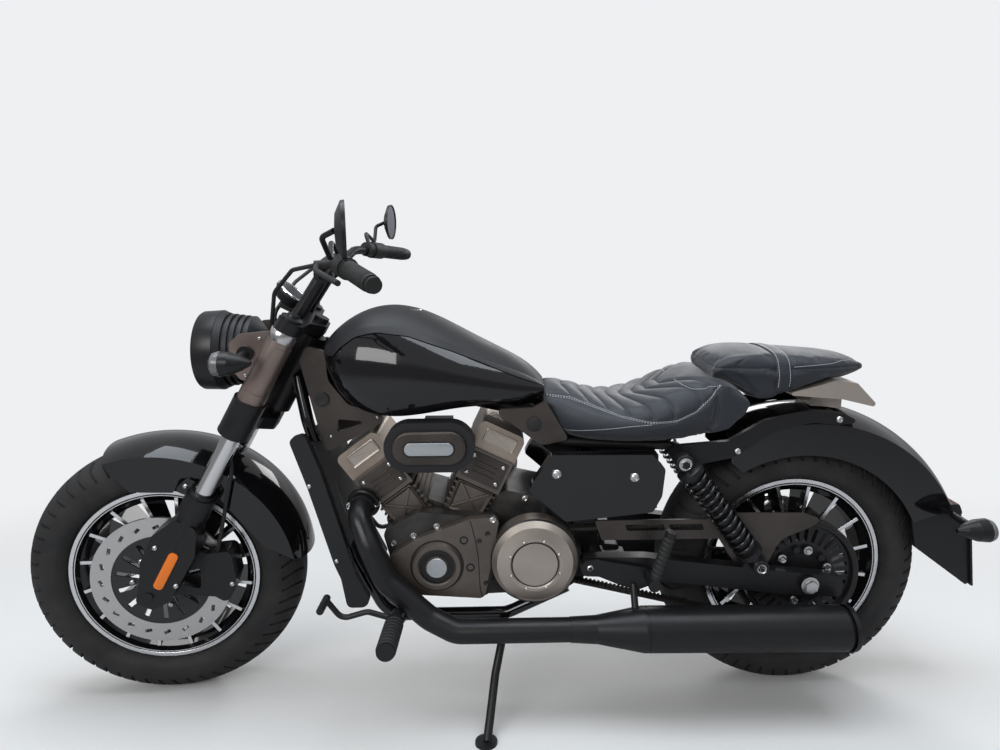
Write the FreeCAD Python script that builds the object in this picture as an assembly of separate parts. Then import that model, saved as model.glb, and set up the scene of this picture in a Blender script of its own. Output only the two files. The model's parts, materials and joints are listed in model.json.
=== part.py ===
import FreeCAD, Part
import math
import os

# Cruiser motorcycle with a V-twin engine and belt drive, leaning on its side stand.
# Every piece is drawn on the upright machine: x forward from the rear axle, y to the
# rider's left, z up from the ground, in millimetres and degrees. The steering is then
# turned to its resting angle, and the whole machine is leaned over and centred.

V = FreeCAD.Vector

# Chassis
WHEELBASE = 1525.0
RAKE = 29.0
FORK_OFFSET = 45.0
FORK_Y = 108.0
LEAN = 8.2
STEER_REST = 4.9
STEER_LOCK = 34.0
SEAT_GAP = 0.3

# Wheels: one row per wheel
# name, axle x, tyre radius, tyre width, half rim width
FRONT_WHEEL = dict(x=WHEELBASE, radius=320.0, width=130.0, rim_half=48.0)
REAR_WHEEL = dict(x=0.0, radius=323.0, width=150.0, rim_half=51.0)
RIM_FLANGE_R = 219.0
RIM_SEAT_R = 206.0
BEAD_R = 222.0
SPOKES = 16
SPOKE_THICK = 9.0
SPOKE_SWEEP = 6.0
HUB_R = 42.0
AXLE_R = 10.0
AXLE_CLEAR = SEAT_GAP

# Brakes and final drive
DISC_THICK = 5.5
FRONT_DISC_R = 160.0
FRONT_DISC_INNER_R = 113.0
FRONT_DISC_Y = 64.0
REAR_DISC_R = 130.0
REAR_DISC_INNER_R = 92.0
REAR_DISC_Y = -66.0
PULLEY_R = 134.0
PULLEY_Y = 82.0
BELT_WIDTH = 22.0
BELT_THICK = 5.0
DRIVE_PULLEY_R = 50.0
GEARBOX_X = 637.0
GEARBOX_Z = 392.0
PULLEY_COVER_R = 100.0

# Engine
CRANK_X = 850.0
CRANK_Z = 382.0
V_ANGLE = 62.6
V_TILT = 5.5
CASE_HALF = 92.0

# Swingarm and shocks
ARM_Y = 110.0
ARM_THICK = 28.0
SHOCK_Y = 155.0

# Bodywork
FENDER_HALF = 87.0
REAR_FENDER_HALF = 98.0
REAR_FENDER_X = -22.0
REAR_FENDER_GAP = 75.0
SHELL = 4.0
STRUT_THICK = 12.0

RAKE_RAD = math.radians(RAKE)
UP = V(-math.sin(RAKE_RAD), 0, math.cos(RAKE_RAD))
AHEAD = V(math.cos(RAKE_RAD), 0, math.sin(RAKE_RAD))
FRONT_AXLE = V(WHEELBASE, 0, FRONT_WHEEL["radius"])
REAR_AXLE = V(0, 0, REAR_WHEEL["radius"])
STEER_POINT = FRONT_AXLE - AHEAD * FORK_OFFSET

# Rear fender's circle round the tyre: the seats, rails, struts and tail lamp are placed
# from its top and its rearmost point
REAR_FENDER_R = REAR_WHEEL["radius"] + REAR_FENDER_GAP
REAR_FENDER_Z = REAR_AXLE.z - 1
FENDER_TOP = REAR_FENDER_Z + REAR_FENDER_R
FENDER_TAIL = REAR_FENDER_X - REAR_FENDER_R
SHOCK_TOP = (307.0, FENDER_TOP - 94)
SHOCK_BOTTOM = (124.0, REAR_AXLE.z + 54)

nodes = {}


def corner_path(points, radii, closed):
    """Edges through the points, with each corner rounded by a tangent arc."""
    count = len(points)
    starts = []
    for i in range(count):
        here = points[i]
        before = points[i - 1]
        after = points[(i + 1) % count]
        end = not closed and i in (0, count - 1)
        radius = radii[i]
        if end or radius <= 0:
            starts.append((here, None, here))
            continue
        back = before - here
        ahead = after - here
        half = back.getAngle(ahead) / 2
        room = 0.49 * min(back.Length, ahead.Length)
        cut = min(radius / math.tan(half), room)
        radius = cut * math.tan(half)
        back.normalize()
        ahead.normalize()
        inward = back + ahead
        inward.normalize()
        middle = here + inward * (radius / math.sin(half) - radius)
        starts.append((here + back * cut, middle, here + ahead * cut))
    edges = []
    for i in range(count):
        first, middle, last = starts[i]
        if middle is not None:
            edges.append(Part.Arc(first, middle, last).toShape())
        if closed or i < count - 1:
            following = starts[(i + 1) % count][0]
            if (following - last).Length > 1e-6:
                edges.append(Part.LineSegment(last, following).toShape())
    return Part.Wire(edges)


def side_plate(corners, y0, y1):
    """Plate from (x, z, corner radius) rows, between two y planes."""
    points = [V(x, y0, z) for x, z, r in corners]
    wire = corner_path(points, [r for x, z, r in corners], True)
    return Part.Face(wire).extrude(V(0, y1 - y0, 0))


def plan_plate(corners, z0, z1):
    """Plate from (x, y, corner radius) rows, between two heights."""
    points = [V(x, y, z0) for x, y, r in corners]
    wire = corner_path(points, [r for x, y, r in corners], True)
    return Part.Face(wire).extrude(V(0, 0, z1 - z0))


def box(x0, x1, y0, y1, z0, z1):
    return Part.makeBox(x1 - x0, y1 - y0, z1 - z0, V(x0, y0, z0))


def rod(start, end, radius):
    return Part.makeCylinder(radius, (end - start).Length, start, end - start)


def cross_rod(x, z, radius, y0, y1):
    return rod(V(x, y0, z), V(x, y1, z), radius)


def pipe(points, radius, bend):
    """Round bar along straight runs joined by arcs of the bend radius."""
    path = corner_path(points, [bend] * len(points), False)
    start = points[0]
    ring = Part.Circle(start, points[1] - start, radius).toShape()
    return path.makePipeShell([Part.Wire([ring])], True, True)


def turned(profile, start, axis, angle=360.0):
    """Solid turned from (distance along axis, radius) rows."""
    axis = V(axis)
    axis.normalize()
    side = V(0, 1, 0) if abs(axis.y) < 0.9 else V(0, 0, 1)
    side = side - axis * side.dot(axis)
    side.normalize()
    points = [start + axis * a + side * r for a, r in profile]
    face = Part.Face(Part.makePolygon(points + [points[0]]))
    return face.revolve(start, axis, angle)


def mirrored(shape):
    return shape.mirror(V(0, 0, 0), V(0, 1, 0))


def both(shape):
    """The shape and its mirror image on the other side."""
    return Part.makeCompound([shape, mirrored(shape)])


def fused(shapes):
    result = shapes[0]
    if len(shapes) > 1:
        result = result.fuse(shapes[1:])
    return result.removeSplitter()


def on_fork(s, p, y=0.0):
    """A point by its distance up the fork and ahead of it."""
    return FRONT_AXLE + UP * s + AHEAD * p + V(0, y, 0)


def fork_rod(s0, s1, radius, p=0.0, y=FORK_Y):
    return rod(on_fork(s0, p, y), on_fork(s1, p, y), radius)


# The wheels


def tyre(wheel):
    """Closed tyre section turned about the axle."""
    half = wheel["width"] / 2
    crown = wheel["radius"] - half
    inner = wheel["rim_half"] - 5.0 - SEAT_GAP
    seat = RIM_SEAT_R + SEAT_GAP
    z = wheel["radius"]
    corners = [
        V(0, -inner, seat),
        V(0, -inner, BEAD_R),
        V(0, -half, crown),
        V(0, half, crown),
        V(0, inner, BEAD_R),
        V(0, inner, seat),
    ]
    # The side wall is an arc that leaves the crown in line with it
    run = half - inner
    fall = crown - BEAD_R
    wall_r = (run**2 + fall**2) / (2 * run)
    middle = math.atan2(fall, inner - half + wall_r) / 2
    bulge = V(0, half - wall_r + wall_r * math.cos(middle), crown - wall_r * math.sin(middle))
    edges = [
        Part.LineSegment(corners[0], corners[1]).toShape(),
        Part.Arc(corners[1], V(0, -bulge.y, bulge.z), corners[2]).toShape(),
        Part.Arc(corners[2], V(0, 0, wheel["radius"]), corners[3]).toShape(),
        Part.Arc(corners[3], bulge, corners[4]).toShape(),
        Part.LineSegment(corners[4], corners[5]).toShape(),
        Part.LineSegment(corners[5], corners[0]).toShape(),
    ]
    ring = Part.Face(Part.Wire(edges)).revolve(V(0, 0, 0), V(0, 1, 0), 360)
    ring.translate(V(wheel["x"], 0, z))
    return ring


def cast_rim(wheel, hub_left, hub_right):
    """Rim barrel, swept blade spokes and a bored hub."""
    w = wheel["rim_half"]
    axis = V(0, 1, 0)
    half_section = [
        (w, RIM_FLANGE_R),
        (w - 5, RIM_FLANGE_R),
        (w - 5, RIM_SEAT_R),
        (w - 14, RIM_SEAT_R - 2),
        (w - 24, 190),
    ]
    inside = [
        (w - 20, 184),
        (w - 10, 198),
        (w, 204),
    ]
    section = half_section
    section = section + [(-a, r) for a, r in reversed(half_section)]
    section = section + [(-a, r) for a, r in reversed(inside)]
    section = section + inside
    barrel = turned(section, V(0, 0, 0), axis)
    hub = turned(
        [
            (hub_right, 27),
            (-30, HUB_R),
            (30, HUB_R),
            (hub_left, 30),
            (hub_left, AXLE_R + AXLE_CLEAR),
            (hub_right, AXLE_R + AXLE_CLEAR),
        ],
        V(0, 0, 0),
        axis,
    )
    blade_section = [
        (38, -22),
        (199, -(w - 9)),
        (200, -(w - 13)),
        (187, -(w - 22)),
        (187, w - 22),
        (200, w - 13),
        (199, w - 9),
        (38, 22),
    ]
    points = [V(r, a, -SPOKE_THICK / 2) for r, a in blade_section]
    blade = Part.Face(Part.makePolygon(points + [points[0]]))
    blade = blade.extrude(V(0, 0, SPOKE_THICK))
    blade.rotate(V(195, 0, 0), axis, SPOKE_SWEEP)
    blades = []
    for i in range(SPOKES):
        copy = blade.copy()
        copy.rotate(V(0, 0, 0), axis, 360.0 * (i + 0.5) / SPOKES)
        blades.append(copy)
    rim = fused([barrel, hub] + blades)
    rim = rim.cut(rod(V(0, hub_right - 1, 0), V(0, hub_left + 1, 0), AXLE_R + AXLE_CLEAR))
    rim.translate(V(wheel["x"], 0, wheel["radius"]))
    return rim


def brake_disc(outer, inner, hub_r, y, slots, windows):
    """Slotted braking ring on a windowed carrier."""
    ring = turned(
        [(y, inner), (y, outer), (y + DISC_THICK, outer), (y + DISC_THICK, inner)],
        V(0, 0, 0),
        V(0, 1, 0),
    )
    rim_r = inner + 8
    carrier = turned(
        [
            (y + 1, hub_r),
            (y + 1, rim_r),
            (y + DISC_THICK - 1, rim_r),
            (y + DISC_THICK - 1, hub_r),
        ],
        V(0, 0, 0),
        V(0, 1, 0),
    )
    cutters = []
    reach = (outer + inner) / 2
    for i in range(slots):
        slot = box(reach - 4, reach + 4, y - 1, y + DISC_THICK + 1, -8, 8)
        slot.rotate(V(reach, 0, 0), V(0, 1, 0), 25)
        slot.rotate(V(0, 0, 0), V(0, 1, 0), 360.0 * i / slots)
        cutters.append(slot)
    low = hub_r + 28
    high = inner - 10
    for i in range(windows):
        window = box(low, high, y - 1, y + DISC_THICK + 1, -5.5, 5.5)
        window.rotate(V(0, 0, 0), V(0, 1, 0), 360.0 * (i + 0.5) / windows)
        cutters.append(window)
    return fused([ring, carrier]).cut(cutters)


for name, wheel, left, right in (
    ("front", FRONT_WHEEL, FRONT_DISC_Y, -56.0),
    ("rear", REAR_WHEEL, PULLEY_Y, REAR_DISC_Y + DISC_THICK),
):
    nodes[name + "_tyre"] = tyre(wheel)
    nodes[name + "_rim"] = cast_rim(wheel, left, right)

bore_r = AXLE_R + AXLE_CLEAR
disc = brake_disc(FRONT_DISC_R, FRONT_DISC_INNER_R, bore_r, FRONT_DISC_Y, 20, 14)
disc.translate(FRONT_AXLE)
nodes["front_disc"] = disc
disc = brake_disc(REAR_DISC_R, REAR_DISC_INNER_R, bore_r, REAR_DISC_Y, 18, 16)
disc.translate(REAR_AXLE)
nodes["rear_disc"] = disc

pulley_out = PULLEY_Y + BELT_WIDTH
pulley = turned(
    [
        (PULLEY_Y, bore_r),
        (PULLEY_Y, 76),
        (PULLEY_Y + 4, PULLEY_R - 12),
        (PULLEY_Y - 1, PULLEY_R - 8),
        (PULLEY_Y - 1, PULLEY_R),
        (pulley_out + 1, PULLEY_R),
        (pulley_out + 1, PULLEY_R - 8),
        (pulley_out - 8, PULLEY_R - 12),
        (pulley_out - 6, 76),
        (pulley_out - 10, 48),
        (pulley_out - 10, bore_r),
    ],
    V(0, 0, 0),
    V(0, 1, 0),
)
pulley_slots = []
for i in range(30):
    slot = box(82, 116, PULLEY_Y - 2, pulley_out + 2, -4.5, 4.5)
    slot.rotate(V(0, 0, 0), V(0, 1, 0), 12.0 * i)
    pulley_slots.append(slot)
pulley_bolts = []
for i in range(6):
    angle = math.radians(60 * i + 18)
    x = 64 * math.cos(angle)
    z = 64 * math.sin(angle)
    pulley_bolts.append(cross_rod(x, z, 8, pulley_out - 12, pulley_out + 1))
pulley = fused([pulley.cut(pulley_slots)] + pulley_bolts)
pulley.translate(REAR_AXLE)
nodes["rear_pulley"] = pulley


# The drive belt, a fixed loop that clears the pulley it runs on


def belt_loop(inner_rear, inner_drive, y0, y1):
    """Solid inside of a belt line round both pulleys."""
    dx = GEARBOX_X
    dz = GEARBOX_Z - REAR_AXLE.z
    span = math.hypot(dx, dz)
    slope = math.atan2(dz, dx)
    lean = math.asin((inner_rear - inner_drive) / span)
    points = []
    for side in (1, -1):
        angle = slope + side * (math.pi / 2 - lean)
        away = V(math.cos(angle), 0, math.sin(angle))
        rear = V(0, y0, REAR_AXLE.z) + away * inner_rear
        drive = V(GEARBOX_X, y0, GEARBOX_Z) + away * inner_drive
        points.append((rear, drive))
    back = V(0, y0, REAR_AXLE.z) - V(math.cos(slope), 0, math.sin(slope)) * inner_rear
    nose = V(GEARBOX_X, y0, GEARBOX_Z) + V(math.cos(slope), 0, math.sin(slope)) * inner_drive
    (upper_rear, upper_drive), (lower_rear, lower_drive) = points
    wire = Part.Wire(
        [
            Part.LineSegment(upper_rear, upper_drive).toShape(),
            Part.Arc(upper_drive, nose, lower_drive).toShape(),
            Part.LineSegment(lower_drive, lower_rear).toShape(),
            Part.Arc(lower_rear, back, upper_rear).toShape(),
        ]
    )
    return Part.Face(wire).extrude(V(0, y1 - y0, 0))


belt_y0 = PULLEY_Y
belt_y1 = PULLEY_Y + BELT_WIDTH
belt_in = belt_loop(PULLEY_R + 0.6, DRIVE_PULLEY_R, belt_y0, belt_y1)
belt_out = belt_loop(
    PULLEY_R + 0.6 + BELT_THICK, DRIVE_PULLEY_R + BELT_THICK, belt_y0, belt_y1
)
nodes["drive_belt"] = belt_out.cut(belt_in)

# The engine

case_outline = [
    (985, 470, 20),
    (968, 385, 25),
    (925, 305, 25),
    (760, 268, 20),
    (640, 272, 30),
    (552, 300, 25),
    (540, 420, 25),
    (590, 505, 20),
    (700, 530, 15),
    (760, 505, 10),
    (850, 500, 10),
    (930, 525, 10),
]
crankcase = side_plate(case_outline, -CASE_HALF, PULLEY_Y - 12)
left_case = side_plate(
    [
        (985, 455, 20),
        (968, 385, 25),
        (925, 305, 25),
        (740, 290, 20),
        (722, 480, 15),
        (900, 500, 20),
    ],
    PULLEY_Y - 12,
    118,
)
gear_shaft = cross_rod(GEARBOX_X, GEARBOX_Z, DRIVE_PULLEY_R, PULLEY_Y - 12, belt_y1)
cover_back = belt_y1 + 6
cover_room = cross_rod(
    GEARBOX_X, GEARBOX_Z, PULLEY_COVER_R + SEAT_GAP, cover_back, cover_back + 60
)
standoffs = [cross_rod(610, z, 8, PULLEY_Y - 12, cover_back) for z in (480, 306)]
crankcase = fused([crankcase, left_case.cut(cover_room), gear_shaft] + standoffs)


def cylinder_frame(forward):
    """Direction along and across one cylinder."""
    angle = math.radians(V_TILT + (V_ANGLE / 2 if forward else -V_ANGLE / 2))
    along = V(math.sin(angle), 0, math.cos(angle))
    across = V(math.cos(angle), 0, -math.sin(angle))
    return along, across


def cylinder_block(forward, low, high, half, half_y, bevel):
    """Block between two distances from the crank, centred on the cylinder line."""
    along, across = cylinder_frame(forward)
    start = V(CRANK_X, -half_y, CRANK_Z)
    points = [
        start + along * low - across * half,
        start + along * high - across * half,
        start + along * high + across * half,
        start + along * low + across * half,
    ]
    wire = corner_path(points, [0, bevel, bevel, 0], True)
    return Part.Face(wire).extrude(V(0, 2 * half_y, 0))


# piece, low, high, half across, half wide, corner radius
engine = {}
CYLINDER_PARTS = (
    ("barrel", 96, 186, 45, 76, 0),
    ("head", 186, 268, 55, 88, 4),
    ("cover", 268, 334, 57, 82, 16),
)
for place, forward in (("front", True), ("rear", False)):
    for piece, low, high, half, half_y, bevel in CYLINDER_PARTS:
        block = cylinder_block(forward, low, high, half, half_y, bevel)
        if piece == "barrel":
            fins = []
            for i in range(5):
                level = low + 14 + 15 * i
                fins.append(cylinder_block(forward, level, level + 5, half + 6, half_y + 6, 0))
            block = fused([block] + fins).cut(crankcase)
        engine[place + "_" + piece] = block
# The two barrels meet low in the V
engine["rear_barrel"] = engine["rear_barrel"].cut(engine["front_barrel"])
nodes["crankcase"] = crankcase
nodes["cylinders"] = Part.makeCompound(
    [
        fused([engine["front_barrel"], engine["front_head"]]),
        fused([engine["rear_barrel"], engine["rear_head"]]),
    ]
)
nodes["head_covers"] = Part.makeCompound([engine["front_cover"], engine["rear_cover"]])

ALTERNATOR_X = 860.0
ALTERNATOR_Z = 379.0
timing_cover = side_plate(
    [
        (968, 405, 14),
        (955, 340, 24),
        (912, 308, 40),
        (752, 296, 15),
        (716, 494, 14),
        (783, 490, 60),
        (900, 446, 30),
    ],
    118,
    136,
)
timing_boss = turned(
    [(136, 0), (136, 58), (146, 54), (146, 44), (143, 41), (143, 26), (148, 24), (148, 0)],
    V(ALTERNATOR_X, 0, ALTERNATOR_Z),
    V(0, 1, 0),
)

cover_centre = V(GEARBOX_X, 0, GEARBOX_Z)
nodes["pulley_cover"] = turned(
    [
        (cover_back, 0),
        (cover_back, PULLEY_COVER_R),
        (146, PULLEY_COVER_R),
        (160, PULLEY_COVER_R - 14),
        (166, 62),
        (166, 56),
        (163, 53),
        (163, 0),
    ],
    cover_centre,
    V(0, 1, 0),
)
cover_bore = cross_rod(
    GEARBOX_X, GEARBOX_Z, PULLEY_COVER_R + SEAT_GAP, cover_back, cover_back + 60
)
left_cover = fused([timing_cover, timing_boss]).cut(cover_bore)

right_cover = side_plate(
    [
        (960, 440, 30),
        (940, 320, 30),
        (760, 285, 20),
        (560, 300, 30),
        (555, 440, 30),
        (700, 500, 30),
    ],
    -CASE_HALF - 26,
    -CASE_HALF,
)
clutch = turned(
    [(-CASE_HALF - 26, 0), (-CASE_HALF - 26, 96), (-CASE_HALF - 50, 86), (-CASE_HALF - 56, 0)],
    V(690, 0, 392),
    V(0, 1, 0),
)
right_cover = fused([right_cover, clutch])
nodes["engine_covers"] = Part.makeCompound([left_cover, right_cover])

# Oval air cleaner on the left, held on its intake in the V
AIR_X = 872.0
AIR_Z = 658.0
AIR_HALF = 101.0
AIR_R = 57.0


def stadium(x, z, half, radius, y0, y1):
    corners = [
        (x - half, z - radius, radius),
        (x + half, z - radius, radius),
        (x + half, z + radius, radius),
        (x - half, z + radius, radius),
    ]
    return side_plate(corners, y0, y1)


air_case = stadium(AIR_X, AIR_Z, AIR_HALF, AIR_R, 98, 136)
air_face = stadium(AIR_X, AIR_Z, AIR_HALF - 20, AIR_R - 20, 136, 144)
air_badge = stadium(AIR_X, AIR_Z, 56, 16, 144, 146)
intake = fused(
    [
        box(AIR_X - 40, AIR_X + 30, -60, 98, AIR_Z - 40, AIR_Z + 18),
        side_plate([(780, 612, 0), (970, 612, 0), (930, 566, 0), (806, 566, 0)], -34, 34),
        box(AIR_X - 24, AIR_X + 14, -34, 34, 600, AIR_Z - 30),
    ]
)
air_cleaner = fused([air_case, air_face, air_badge, intake])
nodes["air_cleaner"] = air_cleaner.cut([nodes["cylinders"], nodes["head_covers"], crankcase])

# The frame

HEAD_LOW = 486.0
HEAD_HIGH = 683.0
STEM_P = -FORK_OFFSET
head_tube = fork_rod(HEAD_LOW, HEAD_HIGH, 31, STEM_P, 0.0)
head_bore = fork_rod(HEAD_LOW - 1, HEAD_HIGH + 1, 18, STEM_P, 0.0)
neck = on_fork(600, STEM_P, 0)
backbone = pipe([V(neck.x, 0, neck.z), V(1040, 0, 800), V(640, 0, 712)], 24, 200)
gusset = side_plate(
    [
        (neck.x + 30, neck.z - 60, 5),
        (neck.x + 5, neck.z + 30, 5),
        (1040, 815, 5),
        (1040, 770, 5),
        (1130, 742, 5),
    ],
    -22,
    22,
)
nodes["backbone"] = fused([head_tube, backbone, gusset]).cut(head_bore)

DOWN_Y = 62.0
DOWN_R = 14.0
down_left = pipe(
    [
        V(1186, 34, 800),
        V(1160, DOWN_Y, 700),
        V(1066, DOWN_Y, 372),
        V(985, DOWN_Y + 14, 222),
        V(700, DOWN_Y + 14, 222),
        V(555, DOWN_Y + 14, 290),
    ],
    DOWN_R,
    70,
)
nodes["down_tubes"] = both(down_left).cut(nodes["backbone"])
PIVOT_X = 510.0
PIVOT_Z = 372.0
pivot_plate = side_plate(
    [
        (568, 262, 20),
        (480, 322, 25),
        (480, 500, 30),
        (560, 690, 20),
        (640, 735, 20),
        (690, 735, 10),
        (610, 640, 30),
        (537, 520, 20),
        (537, 300, 10),
    ],
    44,
    56,
)
pivot_shaft = cross_rod(PIVOT_X, PIVOT_Z, AXLE_R, -ARM_Y - ARM_THICK - 6, ARM_Y + ARM_THICK + 6)
side_pegs = cross_rod(586, 600, 9, -112, 112)
nodes["crankcase"] = crankcase.cut(nodes["down_tubes"])
nodes["pivot_plates"] = fused([pivot_plate, mirrored(pivot_plate), pivot_shaft, side_pegs]).cut(
    [nodes["down_tubes"], crankcase]
)

RAIL_Y = 80.0
rail_front = V(575, RAIL_Y, 652)
rail_rear = V(320, RAIL_Y, FENDER_TOP - 80)
rail = pipe(
    [
        V(640, 66, 712),
        rail_front,
        rail_rear,
        V(280, RAIL_Y, FENDER_TOP - 102),
        V(205, RAIL_Y, FENDER_TOP - 98),
    ],
    11,
    40,
)
rail_bridges = []
for bridge_x in (520, 330):
    share = (bridge_x - rail_front.x) / (rail_rear.x - rail_front.x)
    bridge_z = rail_front.z + (rail_rear.z - rail_front.z) * share
    rail_bridges.append(cross_rod(bridge_x, bridge_z, 9, -RAIL_Y, RAIL_Y))
nodes["seat_rails"] = fused([rail, mirrored(rail)] + rail_bridges).cut(
    [nodes["pivot_plates"], nodes["backbone"]]
)
BOX_REAR_X = REAR_WHEEL["radius"] + 29
nodes["electrics_box"] = box(BOX_REAR_X, 480, -112, 112, 500, 628)

# Radiator between the down tubes, with its side shrouds
radiator_face = [
    (1178, 660, 6),
    (1132, 655, 6),
    (1062, 408, 6),
    (1108, 400, 6),
]
radiator = side_plate(radiator_face, -DOWN_Y - 40, DOWN_Y + 40)
nodes["radiator"] = radiator.cut(
    [both(pipe(
        [V(1186, 34, 800), V(1160, DOWN_Y, 700), V(1066, DOWN_Y, 372), V(985, DOWN_Y + 14, 222)],
        DOWN_R + SEAT_GAP,
        70,
    ))]
)
shroud = side_plate(
    [
        (1188, 676, 14),
        (1150, 560, 60),
        (1104, 396, 10),
        (1098, 375, 14),
        (1084, 340, 10),
        (1072, 268, 14),
        (1010, 268, 20),
        (1050, 350, 40),
        (1120, 600, 60),
        (1152, 688, 14),
    ],
    DOWN_Y + 40,
    DOWN_Y + 58,
)
nodes["radiator_shrouds"] = both(shroud)

NECK_COVER_Y = 64.0
NECK_COVER_THICK = 12.0
neck_plate = side_plate(
    [
        (1168, 845, 12),
        (1118, 628, 12),
        (978, 704, 14),
        (1000, 724, 10),
        (1062, 742, 30),
        (1106, 800, 40),
        (1110, 866, 12),
        (1152, 880, 12),
    ],
    NECK_COVER_Y,
    NECK_COVER_Y + NECK_COVER_THICK,
)
neck_hole = side_plate(
    [(1087, 709, 4), (1090, 678, 4), (1022, 702, 3)],
    NECK_COVER_Y - 1,
    NECK_COVER_Y + NECK_COVER_THICK + 1,
)
lock_boss = cross_rod(
    1121, 756, 17, NECK_COVER_Y + NECK_COVER_THICK, NECK_COVER_Y + NECK_COVER_THICK + 4
)
neck_peg = cross_rod(1128, 752, 10, 20, NECK_COVER_Y)
neck_cover = fused([neck_plate.cut(neck_hole), lock_boss, neck_peg])

rear_neck = side_plate(
    [
        (732, 735, 8),
        (640, 737, 8),
        (610, 752, 8),
        (556, 662, 8),
        (620, 648, 30),
    ],
    86,
    98,
)
rear_neck = fused([rear_neck, cross_rod(637, 699, 16, 98, 102), cross_rod(637, 706, 9, 56, 86)])
neck_pieces = [neck_cover, mirrored(neck_cover), rear_neck, mirrored(rear_neck)]
nodes["neck_covers"] = Part.makeCompound(neck_pieces).cut(
    [nodes["backbone"], nodes["down_tubes"], nodes["seat_rails"], nodes["pivot_plates"]]
)

# Fuel tank: one row per section
# x, half width, bottom z, side z, shoulder half width, shoulder z, top z
TANK_SECTIONS = (
    (1112, 72, 836, 860, 54, 879, 890),
    (1075, 112, 772, 840, 82, 903, 924),
    (985, 142, 728, 828, 98, 928, 960),
    (860, 142, 734, 812, 92, 900, 934),
    (725, 112, 742, 788, 72, 838, 864),
    (612, 62, 760, 770, 44, 778, 784),
)


def tank_section(x, half, bottom, side, shoulder, shoulder_z, top, grow=0.0):
    half = half + grow
    shoulder = shoulder + grow
    low = half * 0.78
    top = top + grow
    edges = [
        Part.LineSegment(V(x, -low, bottom), V(x, low, bottom)).toShape(),
        Part.Arc(V(x, low, bottom), V(x, half, side), V(x, shoulder, shoulder_z)).toShape(),
        Part.Arc(V(x, shoulder, shoulder_z), V(x, 0, top), V(x, -shoulder, shoulder_z)).toShape(),
        Part.Arc(V(x, -shoulder, shoulder_z), V(x, -half, side), V(x, -low, bottom)).toShape(),
    ]
    return Part.Wire(edges)


tank = Part.makeLoft([tank_section(*row) for row in TANK_SECTIONS], True)
tunnel = box(600, 1120, -45, 45, 700, 772)
backbone_slot = pipe([V(neck.x, 0, neck.z), V(1040, 0, 800), V(640, 0, 712)], 24.5, 200)
nodes["fuel_tank"] = tank.cut([tunnel, backbone_slot, nodes["backbone"], nodes["neck_covers"]])
saddle_skin = Part.makeLoft([tank_section(*row, 3.0) for row in TANK_SECTIONS], True)
saddle_side = [
    (1130, 858, 0),
    (1085, 862, 0),
    (1068, 880, 30),
    (1033, 906, 60),
    (985, 916, 60),
    (915, 907, 60),
    (820, 872, 60),
    (749, 841, 60),
    (676, 808, 60),
    (600, 776, 0),
    (600, 990, 0),
    (1130, 990, 0),
]
saddle_zone = side_plate(saddle_side, -200, 200)
nodes["tank_saddle"] = saddle_skin.common(saddle_zone).cut([tank, nodes["neck_covers"]])
CAP_X = 930.0
nodes["fuel_cap"] = turned(
    [(-6, 0), (-6, 30), (0, 30), (0, 34), (6, 34), (9, 30), (9, 0)],
    V(CAP_X, 0, 948),
    V(-0.12, 0, 1),
)
nodes["tank_saddle"] = nodes["tank_saddle"].cut(nodes["fuel_cap"])
nodes["fuel_tank"] = nodes["fuel_tank"].cut(nodes["fuel_cap"])

# Seats: one row per section, as the tank's
# x, half width, bottom z, side z, shoulder half width, shoulder z, top z
SEAT_SECTIONS = (
    (610, 78, 676, 716, 66, 776, 786),
    (540, 122, 664, 700, 96, 752, 770),
    (400, 152, 661, 700, 118, 742, 752),
    (300, 152, 664, 716, 116, 782, 792),
    (236, 142, 676, 730, 112, 800, 812),
)
# The same for the passenger's seat, with heights above the rear fender's top
PILLION_SECTIONS = (
    (232, 98, 81, 96, 72, 109, 115),
    (174, 108, 77, 106, 78, 130, 138),
    (62, 108, 73, 102, 78, 130, 137),
    (-65, 92, 75, 98, 66, 120, 128),
    (-150, 52, 86, 94, 36, 100, 104),
)
rider = Part.makeLoft([tank_section(*row) for row in SEAT_SECTIONS], True)
wing = side_plate(
    [
        (236, 676, 0),
        (236, 800, 0),
        (200, 797, 10),
        (140, 758, 12),
        (158, 722, 12),
        (190, 690, 16),
    ],
    -132,
    132,
)
nodes["rider_seat"] = fused([rider, wing])
pillion = Part.makeLoft([tank_section(*row) for row in PILLION_SECTIONS], True)
pillion_flap = side_plate(
    [
        (205, 77, 6),
        (165, 58, 10),
        (125, 28, 8),
        (92, 30, 8),
        (40, 48, 20),
        (-40, 76, 10),
        (-40, 86, 0),
        (205, 86, 0),
    ],
    -100,
    100,
)
for piece in (pillion, pillion_flap):
    piece.translate(V(0, 0, FENDER_TOP))

# Rear fender: shell turned about its own centre and trimmed to its side outline


def channel_section(top_r, side_r, low_r, half, wall):
    """Closed section of a crowned channel, as edges at x = 0."""
    outer = [
        V(0, -half, low_r),
        V(0, -half, side_r),
        V(0, half, side_r),
        V(0, half, low_r),
    ]
    inner = [
        V(0, half - wall, low_r),
        V(0, half - wall, side_r - wall * 0.6),
        V(0, -half + wall, side_r - wall * 0.6),
        V(0, -half + wall, low_r),
    ]
    edges = [
        Part.LineSegment(outer[0], outer[1]).toShape(),
        Part.Arc(outer[1], V(0, 0, top_r), outer[2]).toShape(),
        Part.LineSegment(outer[2], outer[3]).toShape(),
        Part.LineSegment(outer[3], inner[0]).toShape(),
        Part.LineSegment(inner[0], inner[1]).toShape(),
        Part.Arc(inner[1], V(0, 0, top_r - wall), inner[2]).toShape(),
        Part.LineSegment(inner[2], inner[3]).toShape(),
        Part.LineSegment(inner[3], outer[0]).toShape(),
    ]
    return Part.Face(Part.Wire(edges))


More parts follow.
